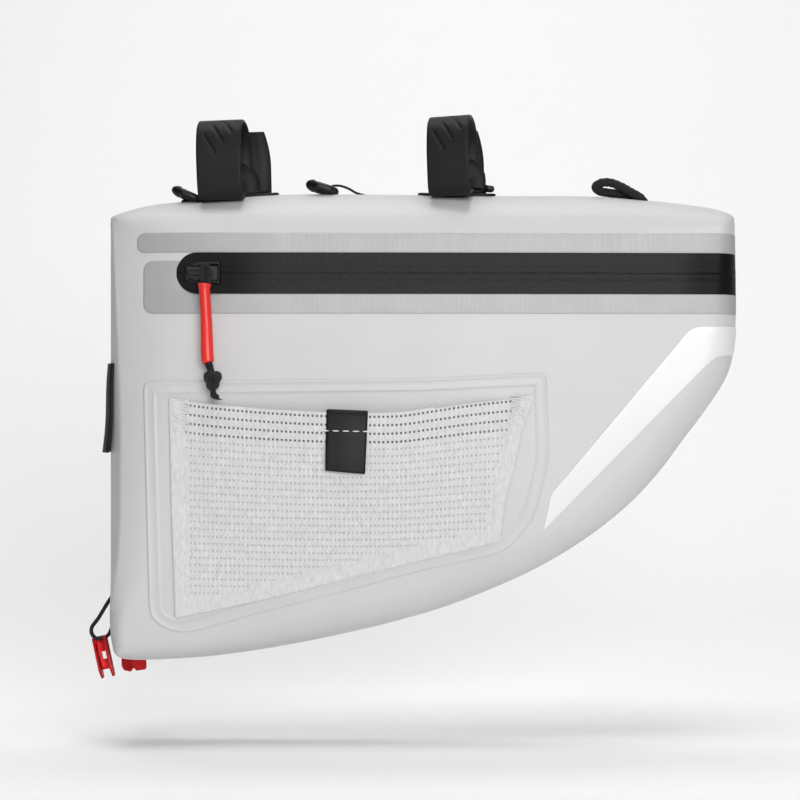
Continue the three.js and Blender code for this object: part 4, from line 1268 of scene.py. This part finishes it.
def add_slider():
    end = SLIDER_WIDTH / 2 - 0.5
    outline = rounded_outline(
        SLIDER_START, SLIDER_START + SLIDER_LENGTH, SEAM_Z - SLIDER_WIDTH / 2, SEAM_Z + SLIDER_WIDTH / 2,
        [end, 1, 1, end],
    )
    made = panel_sheet(outline, slider_height, [0.25, 0.55], cell=0.42, fine=0.45, under=0.5)
    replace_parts(add_piece_from("moulded_slider", made, MOULDED), "zip_slider")


# Pocket, whose sizes are shares of the frame's own pocket
POCKET_WIDTH = 212.9
POCKET_DEPTH = 128.8
POCKET_BELOW_RIDGE = 121.8
POCKET_FROM_TAIL = 38.8
MESH_BORDER = 10
POCKET_SLACK = 6.5
MESH_RISE = 1.6
TAB_WIDTH = 24
TAB_LENGTH = 35.5
TAB_PLACE = 0.489

PATCH_OUTLINE = [
    (-0.073, 0.073), (0.687, 0.087), (1.034, 0.115), (1.042, -0.28), (1.001, -0.551), (0.925, -0.696),
    (0.859, -0.727), (0.687, -0.786), (0.468, -0.885), (0.249, -0.975), (0.118, -1.039), (0.047, -1.066),
    (0.003, -1.057), (-0.029, -1.029), (-0.051, -0.994), (-0.057, -0.94), (-0.065, -0.416),
    (-0.071, -0.054),
]
MESH_TOP = [
    (0, 0), (0.044, -0.014), (0.224, -0.045), (0.422, -0.064), (0.545, -0.067), (0.632, -0.064),
    (0.714, -0.045), (0.823, -0.018), (1, 0.013),
]
MESH_SIDES = [
    (0.967, -0.154), (0.951, -0.28), (0.926, -0.428), (0.905, -0.655), (0.687, -0.739), (0.469, -0.829),
    (0.251, -0.919), (0.016, -1), (0.006, -0.505),
]


def pocket_x(share):
    return TAIL_X + POCKET_FROM_TAIL + np.asarray(share) * POCKET_WIDTH


def pocket_z(share):
    return RIDGE_Z - POCKET_BELOW_RIDGE + np.asarray(share) * POCKET_DEPTH


def pocket_places(table):
    return np.array([(pocket_x(x), pocket_z(z)) for x, z in table])


mesh_top_line = smooth_line(pocket_places(MESH_TOP), 64)
mesh_outline = pocket_places(MESH_TOP + MESH_SIDES)
mesh_rim = pocket_places([MESH_TOP[-1], *MESH_SIDES, MESH_TOP[0]])


def mesh_top(x):
    return np.interp(x, mesh_top_line[:, 0], mesh_top_line[:, 1])


def pocket_slack(x, z):
    """How far the mesh stands off its patch, inside the welded border."""
    left = pocket_x(0.01) + MESH_BORDER
    right = pocket_x(0.96) - MESH_BORDER
    a = (x - left) / (right - left)
    low = pocket_z(-1 + 0.345 * a)
    b = (z - low - MESH_BORDER) / (pocket_z(-0.03) - low - MESH_BORDER)
    rise = np.sin(0.5 * math.pi * np.clip(b / 0.7, 0, 1))
    fade = np.clip((1.6 - b) / 0.35, 0, 1)
    across = np.clip(np.sin(math.pi * np.clip(a, 0, 1)), 0, 1) ** 0.8
    return np.where((a > 0) & (a < 1) & (b > 0) & (b < 1.6), POCKET_SLACK * across * rise * fade, 0)


def on_mesh(x, z, rise=0.0):
    return on_panel(x, z, MESH_RISE + pocket_slack(x, z) + np.asarray(rise, float))


def add_pocket_patch():
    outline = round_corners(pocket_places(PATCH_OUTLINE), [5, 0, 6, 8, 8, 8] + [6] * 11 + [0])
    rings = [0.3, 0.7, 1.1, 1.5, 2.0, 2.8, 5.2, 5.8, 6.4, 7.0, 7.6, 8.4]

    def rise(distance, flat):
        lip = 0.36 * bead(distance, 1.1, 0.7)
        inner_line = 0.4 * bead(distance, 6.4, 0.7) - 0.16 * bead(distance, 7.8, 0.8)
        return FILM_RISE + edge_round(distance, 0.32, 0.8) + lip + inner_line

    made = panel_sheet(outline, rise, rings, cell=3.2, fine=1.1)
    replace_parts(add_piece_from("pocket_patch", made, NYLON), "pocket_frame")


HOLE_PITCH = 2.55
HOLE_ROW = 4.05
HEM_ROW = 4.87
HOLE_CELL = 2.9
HOLE_SIZE = 0.44
HEM_ROWS = 4
HEM_DEPTH = 17.6
KNIT_THICK = 0.5
SOLID_BORDER = 9.5


def hole_row(x, row):
    """Height of a row of holes; rows follow the sagging top edge and level out further down."""
    middle = pocket_z(-0.066)
    sag = mesh_top(x) - middle
    hem = (HEM_ROW - HOLE_ROW) * min(row, HEM_ROWS - 1)
    return middle - 2.4 - row * HOLE_ROW - hem + sag * np.exp(-row / 14)


def tree_with(name, sizes):
    """A new node tree with a mesh, its sizes in metres and a material as named inputs."""
    tree = bpy.data.node_groups.new(name, "GeometryNodeTree")
    face = tree.interface
    face.new_socket("Geometry", in_out="INPUT", socket_type="NodeSocketGeometry")
    for size, value in sizes:
        face.new_socket(size, in_out="INPUT", socket_type="NodeSocketFloat").default_value = value
    face.new_socket("Material", in_out="INPUT", socket_type="NodeSocketMaterial")
    face.new_socket("Geometry", in_out="OUTPUT", socket_type="NodeSocketGeometry")
    return tree, add_node(tree, "NodeGroupInput").outputs


def end_tree(tree, geometry, material):
    """Ends a tree with real geometry in one material."""
    real = add_node(tree, "GeometryNodeRealizeInstances", {"Geometry": geometry})
    dressed = add_node(
        tree, "GeometryNodeSetMaterial", {"Geometry": real.outputs[0], "Material": material}
    )
    add_node(tree, "NodeGroupOutput", {"Geometry": dressed.outputs[0]})
    return tree


def perforation_tree():
    """Knit from a grid, cut through in each marked cell; a mark is the hole's share of the largest one."""
    tree, given = tree_with("perforated_knit", [("Hole size", 0.44), ("Thickness", 0.0005)])
    holed = add_node(tree, "GeometryNodeInputNamedAttribute", {"Name": "hole"}, data_type="FLOAT")
    share = add_node(
        tree, "ShaderNodeMath", {0: holed.outputs["Attribute"], 1: given["Hole size"]}, operation="MULTIPLY"
    )
    raised = add_node(
        tree, "GeometryNodeExtrudeMesh",
        {"Mesh": given["Geometry"], "Selection": holed.outputs["Attribute"], "Offset Scale": 0.0,
         "Individual": True},
        mode="FACES",
    )
    shrunk = add_node(
        tree, "GeometryNodeScaleElements",
        {"Geometry": raised.outputs["Mesh"], "Selection": raised.outputs["Top"], "Scale": share.outputs[0]},
        domain="FACE",
    )
    cut = add_node(
        tree, "GeometryNodeDeleteGeometry",
        {"Geometry": shrunk.outputs["Geometry"], "Selection": raised.outputs["Top"]},
        domain="FACE", mode="ONLY_FACE",
    )
    thick = add_node(
        tree, "GeometryNodeExtrudeMesh",
        {"Mesh": cut.outputs["Geometry"], "Offset Scale": given["Thickness"], "Individual": False},
        mode="FACES",
    )
    back = add_node(tree, "GeometryNodeFlipFaces", {"Mesh": cut.outputs["Geometry"]})
    both = add_node(tree, "GeometryNodeJoinGeometry")
    tree.links.new(thick.outputs["Mesh"], both.inputs[0])
    tree.links.new(back.outputs["Mesh"], both.inputs[0])
    return end_tree(tree, both.outputs[0], given["Material"])


def stitch_tree():
    """Lays a stitch along a path at each pitch."""
    tree, given = tree_with("stitches", [("Pitch", 0.004), ("Stitch", 0.003), ("Thread", 0.0004)])
    curve = add_node(tree, "GeometryNodeMeshToCurve", {"Mesh": given["Geometry"]})
    spread = add_node(
        tree, "GeometryNodeResampleCurve", {"Curve": curve.outputs[0], "Length": given["Pitch"]},
        mode="LENGTH",
    )
    run = add_node(tree, "GeometryNodeInputTangent")
    turned = add_node(tree, "FunctionNodeAlignRotationToVector", {"Vector": run.outputs[0]}, axis="X")
    bead_shape = add_node(tree, "GeometryNodeMeshUVSphere", {"Segments": 8, "Rings": 6, "Radius": 0.5})
    size = add_node(
        tree, "ShaderNodeCombineXYZ", {0: given["Stitch"], 1: given["Thread"], 2: given["Thread"]}
    )
    laid = add_node(
        tree, "GeometryNodeInstanceOnPoints",
        {"Points": spread.outputs[0], "Instance": bead_shape.outputs[0], "Rotation": turned.outputs[0],
         "Scale": size.outputs[0]},
    )
    return end_tree(tree, laid.outputs[0], given["Material"])


PERFORATIONS = perforation_tree()
STITCHES = stitch_tree()


def grow(name, points_mm, faces, edges, tree, values, marks=None):
    """The piece that a tree makes of points, faces and edges; marks names the faces that it reads."""
    mesh = bpy.data.meshes.new(name + "_source")
    mesh.from_pydata([tuple(p) for p in np.asarray(points_mm) * MM], list(edges), [tuple(f) for f in faces])
    if marks:
        attribute = mesh.attributes.new(marks[0], "FLOAT", "FACE")
        attribute.data.foreach_set("value", marks[1])
    source = bpy.data.objects.new(name, mesh)
    bpy.context.scene.collection.objects.link(source)
    modifier = source.modifiers.new("grown", "NODES")
    modifier.node_group = tree
    for item in tree.interface.items_tree:
        if item.item_type == "SOCKET" and item.in_out == "INPUT" and item.name in values:
            modifier[item.identifier] = values[item.name]
    graph = bpy.context.evaluated_depsgraph_get()
    grown = bpy.data.meshes.new_from_object(source.evaluated_get(graph))
    source.modifiers.remove(modifier)
    source.data = grown
    bpy.data.meshes.remove(mesh)
    grown.name = name
    grown.polygons.foreach_set("use_smooth", [True] * len(grown.polygons))
    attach(source, "root")
    return source


def rim_distance(points):
    """Distance from the pocket's welded sides and foot, its open top left out."""
    best = np.full(len(points), np.inf)
    for start, end in zip(mesh_rim[:-1], mesh_rim[1:]):
        run = end - start
        t = np.clip(((points - start) @ run) / (run @ run), 0, 1)
        best = np.minimum(best, np.linalg.norm(points - start - t[:, None] * run, axis=1))
    return best


def add_pocket_knit():
    left, right = mesh_outline[:, 0].min() + 1.2, mesh_outline[:, 0].max() - 1.2
    line = np.arange(left, right, HOLE_PITCH)
    rows = int(POCKET_DEPTH / HOLE_ROW) - 1
    levels = [mesh_top(line)]
    for row in range(rows):
        levels += [hole_row(line, row) + HOLE_CELL / 2, hole_row(line, row) - HOLE_CELL / 2]
    count = len(levels)
    flat = np.stack([np.repeat(line, count), np.array(levels).T.ravel()], 1)
    margin = np.where(inside_outline(flat, mesh_outline), rim_distance(flat), -1)
    quads = np.array(grid_faces(len(line), count, flip=True))
    quads = quads[(margin[quads] > 1.2).all(1)]
    middle = flat[quads].mean(1)
    level = quads.min(1) % count
    holed = (level % 2 == 1) & (rim_distance(middle) > SOLID_BORDER)
    hole = np.where(holed, np.where(level < 2 * HEM_ROWS, 1, 0.5), 0).astype(np.float32)
    piece = grow(
        "pocket_knit", on_mesh(flat[:, 0], flat[:, 1]), quads, [], PERFORATIONS,
        {"Hole size": HOLE_SIZE, "Thickness": KNIT_THICK * MM, "Material": KNIT},
        ("hole", hole),
    )
    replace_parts(piece, "mesh_pocket")
    return piece


def offset_line(line, amount):
    """An open line in the side view moved to one side of itself."""
    run = np.gradient(line, axis=0)
    run /= np.linalg.norm(run, axis=1, keepdims=True)
    return line + amount * np.stack([run[:, 1], -run[:, 0]], 1)


def add_pocket_rim():
    """The mesh's welded border, pressed flat and clear of holes."""
    inner = offset_line(mesh_rim, SOLID_BORDER - 1.2)
    inner[0, 1] = mesh_top(inner[0, 0])
    inner[-1, 1] = mesh_top(inner[-1, 0])
    count = len(mesh_rim)
    loop = round_corners(
        np.vstack([mesh_rim, inner[::-1]]), [0.5] + [2.5] * (count - 2) + [0.5] * 2 + [3] * (count - 2) + [0.5]
    )

    def rise(distance, flat):
        crumb = 0.07 * np.sin(flat[:, 0] * 2.4) * np.sin(flat[:, 1] * 2.2 + flat[:, 0] * 0.4)
        pucker = 0.2 * np.sin(flat[:, 1] * 0.55 + flat[:, 0] * 0.62 + 0.8 * np.sin(flat[:, 1] * 0.23))
        return edge_round(distance, 0.55, 1.3) + 0.22 + crumb + pucker * np.clip(distance / 3, 0, 1)

    flat, faces, distance = fill_outline(loop, [0.3, 0.8, 1.4], 1.9, 0.9)
    made = closed_sheet(
        on_mesh(flat[:, 0], flat[:, 1], rise(distance, flat)), on_mesh(flat[:, 0], flat[:, 1], -0.25), flat, faces
    )
    return add_piece_from("pocket_rim", made, KNIT)


def closed_sheet(top, bottom, flat, faces):
    """A thin closed piece from its two skins."""
    count = len(flat)
    walls = [(j, i, i + count, j + count) for i, j in rim_edges(faces)]
    all_faces = [tuple(f) for f in faces] + [tuple(f[::-1] + count) for f in faces] + walls
    return np.vstack([top, bottom]), all_faces, np.vstack([flat, flat])


def add_pocket_tab():
    """Webbing folded over the hem: down its face, round its edge and a little way behind."""
    middle = float(pocket_x(TAB_PLACE))
    top = float(pocket_z(-0.055)) - 0.4
    outer, inner, thick = MESH_RISE + 1.4, MESH_RISE - 1.3, 1.0
    radius = (outer - inner) / 2
    across = np.linspace(-TAB_WIDTH / 2, TAB_WIDTH / 2, 19)
    route = [(top - radius - TAB_LENGTH * (1 - t) + 1.6 * (1 - t), outer) for t in np.linspace(0, 1, 26)]
    route += [
        (top - radius + radius * math.sin(turn), inner + radius + radius * math.cos(turn))
        for turn in np.linspace(0.1, 0.9, 9) * math.pi
    ]
    route += [(top - radius - 11 * t, inner) for t in np.linspace(0, 1, 8)]
    route = np.array(route)
    run = np.gradient(route, axis=0)
    run /= np.linalg.norm(run, axis=1, keepdims=True)
    normal = np.stack([-run[:, 1], run[:, 0]], 1)
    share = np.linspace(0, 1, len(route))
    points, charts = [], []
    for skin in (thick / 2, -thick / 2):
        for k, (z, rise) in enumerate(route):
            edge = np.clip((TAB_WIDTH / 2 - np.abs(across)) / 0.8, 0, 1)
            lift = skin * np.sqrt(1 - (1 - edge) ** 2 * 0.8)
            drop = max(top - z, 0) / TAB_LENGTH
            bow = (0.6 * math.sin(share[k] * 9) + 2.6 * drop ** 2) * (rise == outer) + 0.25 * np.cos(across * 0.26)
            height = z + normal[k, 0] * lift - (0.043 + 0.04 * drop) * across
            place = middle + across * (1 - 0.045 * drop) - 0.033 * (top - height)
            slack = pocket_slack(middle + across, np.maximum(height, top - 40))
            points.append(on_panel(place, height, rise + bow + normal[k, 1] * lift + slack))
            charts.append(np.stack([across, np.full(len(across), float(k))], 1))
    rows, count = len(across), len(route) * len(across)
    faces = grid_faces(len(route), rows, flip=True) + grid_faces(len(route), rows, count)
    last = (len(route) - 1) * rows
    for j in range(rows - 1):
        faces += [(j, j + 1, count + j + 1, count + j)]
        faces += [(last + j + 1, last + j, count + last + j, count + last + j + 1)]
    for a in range(0, last, rows):
        b = a + rows
        faces += [(b, a, count + a, count + b)]
        faces += [(a + rows - 1, b + rows - 1, count + b + rows - 1, count + a + rows - 1)]
    piece = add_piece("hem_tab", np.vstack(points), faces, WEBBING, chart=np.vstack(charts))
    finish_closed(piece)
    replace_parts(piece, "pocket_tab")


def stitch_run(name, path, pitch, stitch, thread):
    """Stitches along a path of points in millimetres, as one piece."""
    edges = [(i, i + 1) for i in range(len(path) - 1)]
    return grow(name, path, [], edges, STITCHES, {
        "Pitch": pitch * MM, "Stitch": stitch * MM, "Thread": thread * MM, "Material": THREAD,
    })


def zigzag(centre_x, top, bottom, width, lean, passes):
    """A bartack's thread in the side view, back and forth on its way down."""
    k = np.arange(passes + 1)
    z = top + (bottom - top) * k / passes + 0.25 * np.sin(k * 2.3)
    uneven = width * (1 + 0.12 * np.sin(k * 1.7))
    x = centre_x + lean * k / passes + np.where(k % 2, 0.5, -0.5) * uneven
    corners = np.stack([x, z], 1)
    return np.vstack([np.linspace(a, b, 6)[:-1] for a, b in zip(corners[:-1], corners[1:])])


def add_pocket_stitches():
    x = np.linspace(float(pocket_x(0.07)), float(pocket_x(0.94)), 200)
    hem = mesh_top(x) - 14.6 + 0.8 * np.sin(x * 1.9)
    made = [stitch_run("hem_stitches", on_mesh(x, hem, KNIT_THICK + 0.05), 3.1, 2.1, 0.5)]
    middle = float(pocket_x(TAB_PLACE))
    tab_x = np.linspace(middle - TAB_WIDTH / 2 - 0.4, middle + TAB_WIDTH / 2 - 1.2, 12)
    tab_z = float(mesh_top(middle)) - 10.6 - 0.02 * (tab_x - middle)
    made.append(stitch_run("tab_stitches", on_mesh(tab_x, tab_z, 2.75), 5.2, 4.3, 0.75))
    for name, share, lean in (("bartack_tail", 0.032, 0.6), ("bartack_nose", 0.96, -2.6)):
        centre_x = float(pocket_x(share))
        top = float(mesh_top(centre_x))
        path = zigzag(centre_x, top + 0.3, top - 17.6, 8.4, lean, 25)
        lift = 0.85 + 0.2 * np.sin(path[:, 0] * 2.7)
        made.append(stitch_run(name, on_mesh(path[:, 0], path[:, 1], lift), 1.6, 2.1, 0.66))
    return made


def add_hem_elastic():
    """Elastic inside the hem, which shows dark through its holes."""
    x = np.linspace(float(pocket_x(0.06)), float(pocket_x(0.945)), 90)
    drops = np.linspace(1.2, HEM_DEPTH, 8)
    flat = np.stack([np.repeat(x, len(drops)), (mesh_top(x)[:, None] - drops).ravel()], 1)
    faces = np.array(grid_faces(len(x), len(drops), flip=True))
    made = closed_sheet(
        on_mesh(flat[:, 0], flat[:, 1], 0.18), on_mesh(flat[:, 0], flat[:, 1], 0.08), flat, faces
    )
    return add_piece_from("hem_elastic", made, ELASTIC)


# Strap loops round the tube
STRAP_THICK = 2
LOOP_HEIGHT = 45.8
LOOP_HALF_DEPTH = 22.8

NEAR_HALF = [
    (-0.08, 0.05), (-0.3, 0.03), (-0.55, -0.005), (-0.74, -0.02), (-0.88, 0.04), (-0.95, 0.17),
    (-0.985, 0.34), (-1, 0.5), (-0.96, 0.68), (-0.82, 0.86), (-0.55, 0.965), (-0.2, 1), (0.2, 0.985),
    (0.55, 0.92), (0.78, 0.79), (0.875, 0.63), (0.895, 0.44), (0.87, 0.27), (0.84, 0.13),
]
FAR_HALF = [
    (0.08, 0.05), (0.3, 0.025), (0.55, -0.035), (0.74, -0.07), (0.9, -0.01), (0.98, 0.14), (1.02, 0.33),
    (1.03, 0.5), (1, 0.68), (0.94, 0.83), (0.89, 0.92),
]
# Name, near half's middle, how it slants away, far half's middle, width, tilt in degrees, the patch's ends
LOOPS = [
    ("rear", -73.5, 0.06, -59.4, 26.5, 1.5, (-99, -40)),
    ("front", 60.7, 0.18, 72, 24.8, 1.2, (43, 90)),
]


def crown_height(x, y):
    """Height of the body's top over a place in its plan."""
    u = np.clip((np.asarray(x) - TAIL_X) / BODY_LENGTH, 0, 1)
    flat = HALF_WIDTH_TAIL + (HALF_WIDTH_NOSE - HALF_WIDTH_TAIL) * u
    share = np.clip(np.abs(y) / flat, 0, 0.999)
    return ridge_height(x) - crown_reach(x) * (1 - np.sqrt(1 - share * share))


GROOVE_DEPTH = 0.55
GROOVE_REACH = 6
GROOVES = [(-4.5, 61), (0.5, 55), (5.5, 49)]


def groove(across, along):
    """Three plain slanting grooves pressed into the near face of a strap."""
    deep = np.zeros(np.shape(across))
    for centre_across, centre_along in GROOVES:
        dx, ds = across - centre_across, along - centre_along
        lengthways = 0.5 * dx + 0.866 * ds
        sideways = -0.866 * dx + 0.5 * ds
        ends = np.maximum(np.abs(lengthways) - GROOVE_REACH, 0)
        deep = np.maximum(deep, 1 - smooth_step(np.hypot(sideways, ends), 0.5, 1.25))
    return GROOVE_DEPTH * deep


def strap_line(centre_x, table, steps):
    """The strap's middle line seen along the tube, kept off the body's crown."""
    ridge = float(ridge_height(centre_x))
    line = smooth_line([(y * LOOP_HALF_DEPTH, ridge + z * LOOP_HEIGHT) for y, z in table], steps)
    seat = crown_height(centre_x, line[:, 0]) + 2.8
    line[:, 1] = np.where(line[:, 1] < ridge + 3, np.maximum(line[:, 1], seat), line[:, 1])
    return line


def add_strap(name, node, table, middle, slant, width, way, tilt, grooved):
    ridge = float(ridge_height(middle))
    line = strap_line(middle, table, 230)
    path = np.column_stack([middle + slant * (line[:, 0] + LOOP_HALF_DEPTH), line])
    total = run_length(path)
    if grooved:
        path[:, 0] += 4.5 * smooth_step(places_along(path), total - 10, total - 6)
    face = np.linspace(-width / 2 + 0.9, width / 2 - 0.9, 34)

    def section(i, s):
        taper = 0 if grooved else 3.6 * np.clip((s - total + 22) / 22, 0, 1) ** 2
        fold = 1.2 * smooth_step(s, total - 9, total - 8) if grooved else 0
        half = width / 2 - taper / 2
        thick = STRAP_THICK / 2
        outer = thick - (groove(face, s) if grooved else 0)
        edge_one = [(half - 0.3, thick - 0.25), (half, thick - 0.75), (half, -thick + 0.6), (half - 0.4, -thick)]
        back = [(half / 2, -thick - fold), (-half / 2, -thick - fold)]
        edge_two = [(-half + 0.4, -thick), (-half, -thick + 0.6), (-half, thick - 0.75), (-half + 0.3, thick - 0.25)]
        top = np.stack([face * half / (width / 2), np.broadcast_to(outer, face.shape)], 1)
        return np.vstack([top, edge_one, back, edge_two]) - (taper / 2, 0)

    points, faces, chart = sweep(path, section, side=(way, 0, 0))
    lean = math.radians(tilt)
    off = points - (middle, 0, ridge)
    points = np.stack([
        middle + off[:, 0] * math.cos(lean) - off[:, 2] * math.sin(lean), points[:, 1],
        ridge + off[:, 2] * math.cos(lean) + off[:, 0] * math.sin(lean),
    ], 1)
    piece = add_piece(name, points, faces, WEBBING, chart=chart)
    finish_closed(piece)
    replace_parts(piece, node)


def add_strap_patch(name, node, outline):
    flat, faces, distance = fill_outline(outline, [0.3, 0.7, 1.2], 2.5, 1.2)
    height = crown_height(flat[:, 0], flat[:, 1])
    made = closed_sheet(
        np.column_stack([flat, height + 0.3 + edge_round(distance, 1.2, 1.0)]),
        np.column_stack([flat, height - 0.1]), flat, faces,
    )
    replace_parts(add_piece_from(name, made, WEBBING), node)


def add_straps():
    for name, near, slant, far, width, tilt, (behind, before) in LOOPS:
        add_strap(f"strap_loop_{name}_near", f"strap_{name}_near", NEAR_HALF, near, slant, width, -1, tilt, True)
        add_strap(f"strap_loop_{name}_far", f"strap_{name}_far", FAR_HALF, far, 0, width, 1, tilt, False)
        patch = rounded_outline(behind, before, -5, 12, [5] * 4, 6)
        add_strap_patch(f"strap_patch_{name}", f"strap_base_{name}", patch)


# Tab on the tail
SIDE_TAB_WIDTH = 25
SIDE_TAB_LENGTH = 53
SIDE_TAB_THICK = 1.6
SIDE_TAB_FLARE = 3
SIDE_TAB_BELOW_RIDGE = 101.4


def tail_reach(across, z):
    """Where the body's surface lies near the tail, at places off its middle and one height."""
    x = np.linspace(TAIL_X + 0.01, TAIL_X + 22, 120)
    return np.interp(np.abs(across), half_width(x, np.full(120, z)), x)


def add_side_tab():
    top = RIDGE_Z - SIDE_TAB_BELOW_RIDGE
    across = np.linspace(-SIDE_TAB_WIDTH / 2, SIDE_TAB_WIDTH / 2, 21)
    down = np.linspace(0, 1, 28)
    skins = []
    edge = np.clip((SIDE_TAB_WIDTH / 2 - np.abs(across)) / 0.8, 0, 1)
    for skin in (SIDE_TAB_THICK, 0):
        points = []
        for share in down:
            z = top - share * SIDE_TAB_LENGTH
            stand = 0.25 + SIDE_TAB_FLARE * share ** 1.2 + 0.35 * math.sin(share * 7)
            lift = stand + skin * (1 - 0.3 * (1 - edge) ** 2)
            points.append(np.column_stack([tail_reach(across, z) - lift, across, np.full(len(across), z)]))
        skins.append(np.vstack(points))
    flat = np.stack([np.tile(across, len(down)), np.repeat(down, len(across)) * SIDE_TAB_LENGTH], 1)
    faces = np.array(grid_faces(len(down), len(across)))
    piece = add_piece_from("tail_tab", closed_sheet(skins[0], skins[1], flat, faces), WEBBING)
    finish_closed(piece)
    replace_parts(piece, "side_tab")


toggles = add_toggles()
add_pull()
add_top_cord()
add_loop_cord()
add_hooks()
add_facings()
add_zip()
add_stripe()
add_slider()
add_pocket_patch()
knit = add_pocket_knit()
on_knit = [add_pocket_rim(), add_hem_elastic()]
add_pocket_tab()
on_knit + add_pocket_stitches()
add_straps()
add_side_tab()


# Studio
def add_stage():
    """A pale sweep: a floor below the hanging bag that curves up into the wall behind it."""
    floor_z, back, bend, wall = -352, 1500, 900, 2600
    profile = [(-1600, floor_z), (back - bend, floor_z)]
    profile += [
        (back - bend + bend * math.sin(a), floor_z + bend - bend * math.cos(a))
        for a in np.linspace(0, math.pi / 2, 30)[1:]
    ]
    profile.append((back, wall))
    reach = np.linspace(-3200, 3200, 9)
    points = [(x, y, z) for x in reach for y, z in profile]
    mesh = bpy.data.meshes.new("sweep")
    mesh.from_pydata(
        [tuple(v * MM for v in p) for p in points], [], grid_faces(len(reach), len(profile))
    )
    mesh.polygons.foreach_set("use_smooth", [True] * len(mesh.polygons))
    floor = bpy.data.objects.new("sweep", mesh)
    bpy.context.scene.collection.objects.link(floor)
    material, tree, shader = new_material("matt_paper", 0.95)
    shader.inputs["Specular IOR Level"].default_value = 0.1
    tree.links.new(
        blend_colours(tree, noise(tree, object_mm(tree), 500, 1.0), "f5f5f5", "f7f7f7"),
        shader.inputs["Base Color"],
    )
    mesh.materials.append(material)


def add_light(name, place_mm, aim_mm, size_mm, watts):
    data = bpy.data.lights.new(name, "AREA")
    data.shape = "RECTANGLE"
    data.size, data.size_y = (v * MM for v in size_mm)
    data.energy = watts
    light = bpy.data.objects.new(name, data)
    light.location = [v * MM for v in place_mm]
    aim = Vector(aim_mm) - Vector(place_mm)
    light.rotation_euler = aim.to_track_quat("-Z", "Y").to_euler()
    bpy.context.scene.collection.objects.link(light)


def add_world():
    world = bpy.data.worlds.new("studio")
    world.use_nodes = True
    tree = world.node_tree
    tree.nodes.clear()
    back = add_node(tree, "ShaderNodeBackground", {"Color": srgb("f5f5f5"), "Strength": 0.07})
    add_node(tree, "ShaderNodeOutputWorld", {"Surface": back.outputs[0]})
    bpy.context.scene.world = world


add_stage()
add_world()
add_light("overhead", (0, -500, 2000), (30, 0, -200), (1100, 800), 20)
add_light("front", (550, -2400, 420), (40, 0, -140), (1400, 1100), 50)
add_light("wall", (0, 500, 2300), (0, 1500, 300), (2600, 600), 22.5)
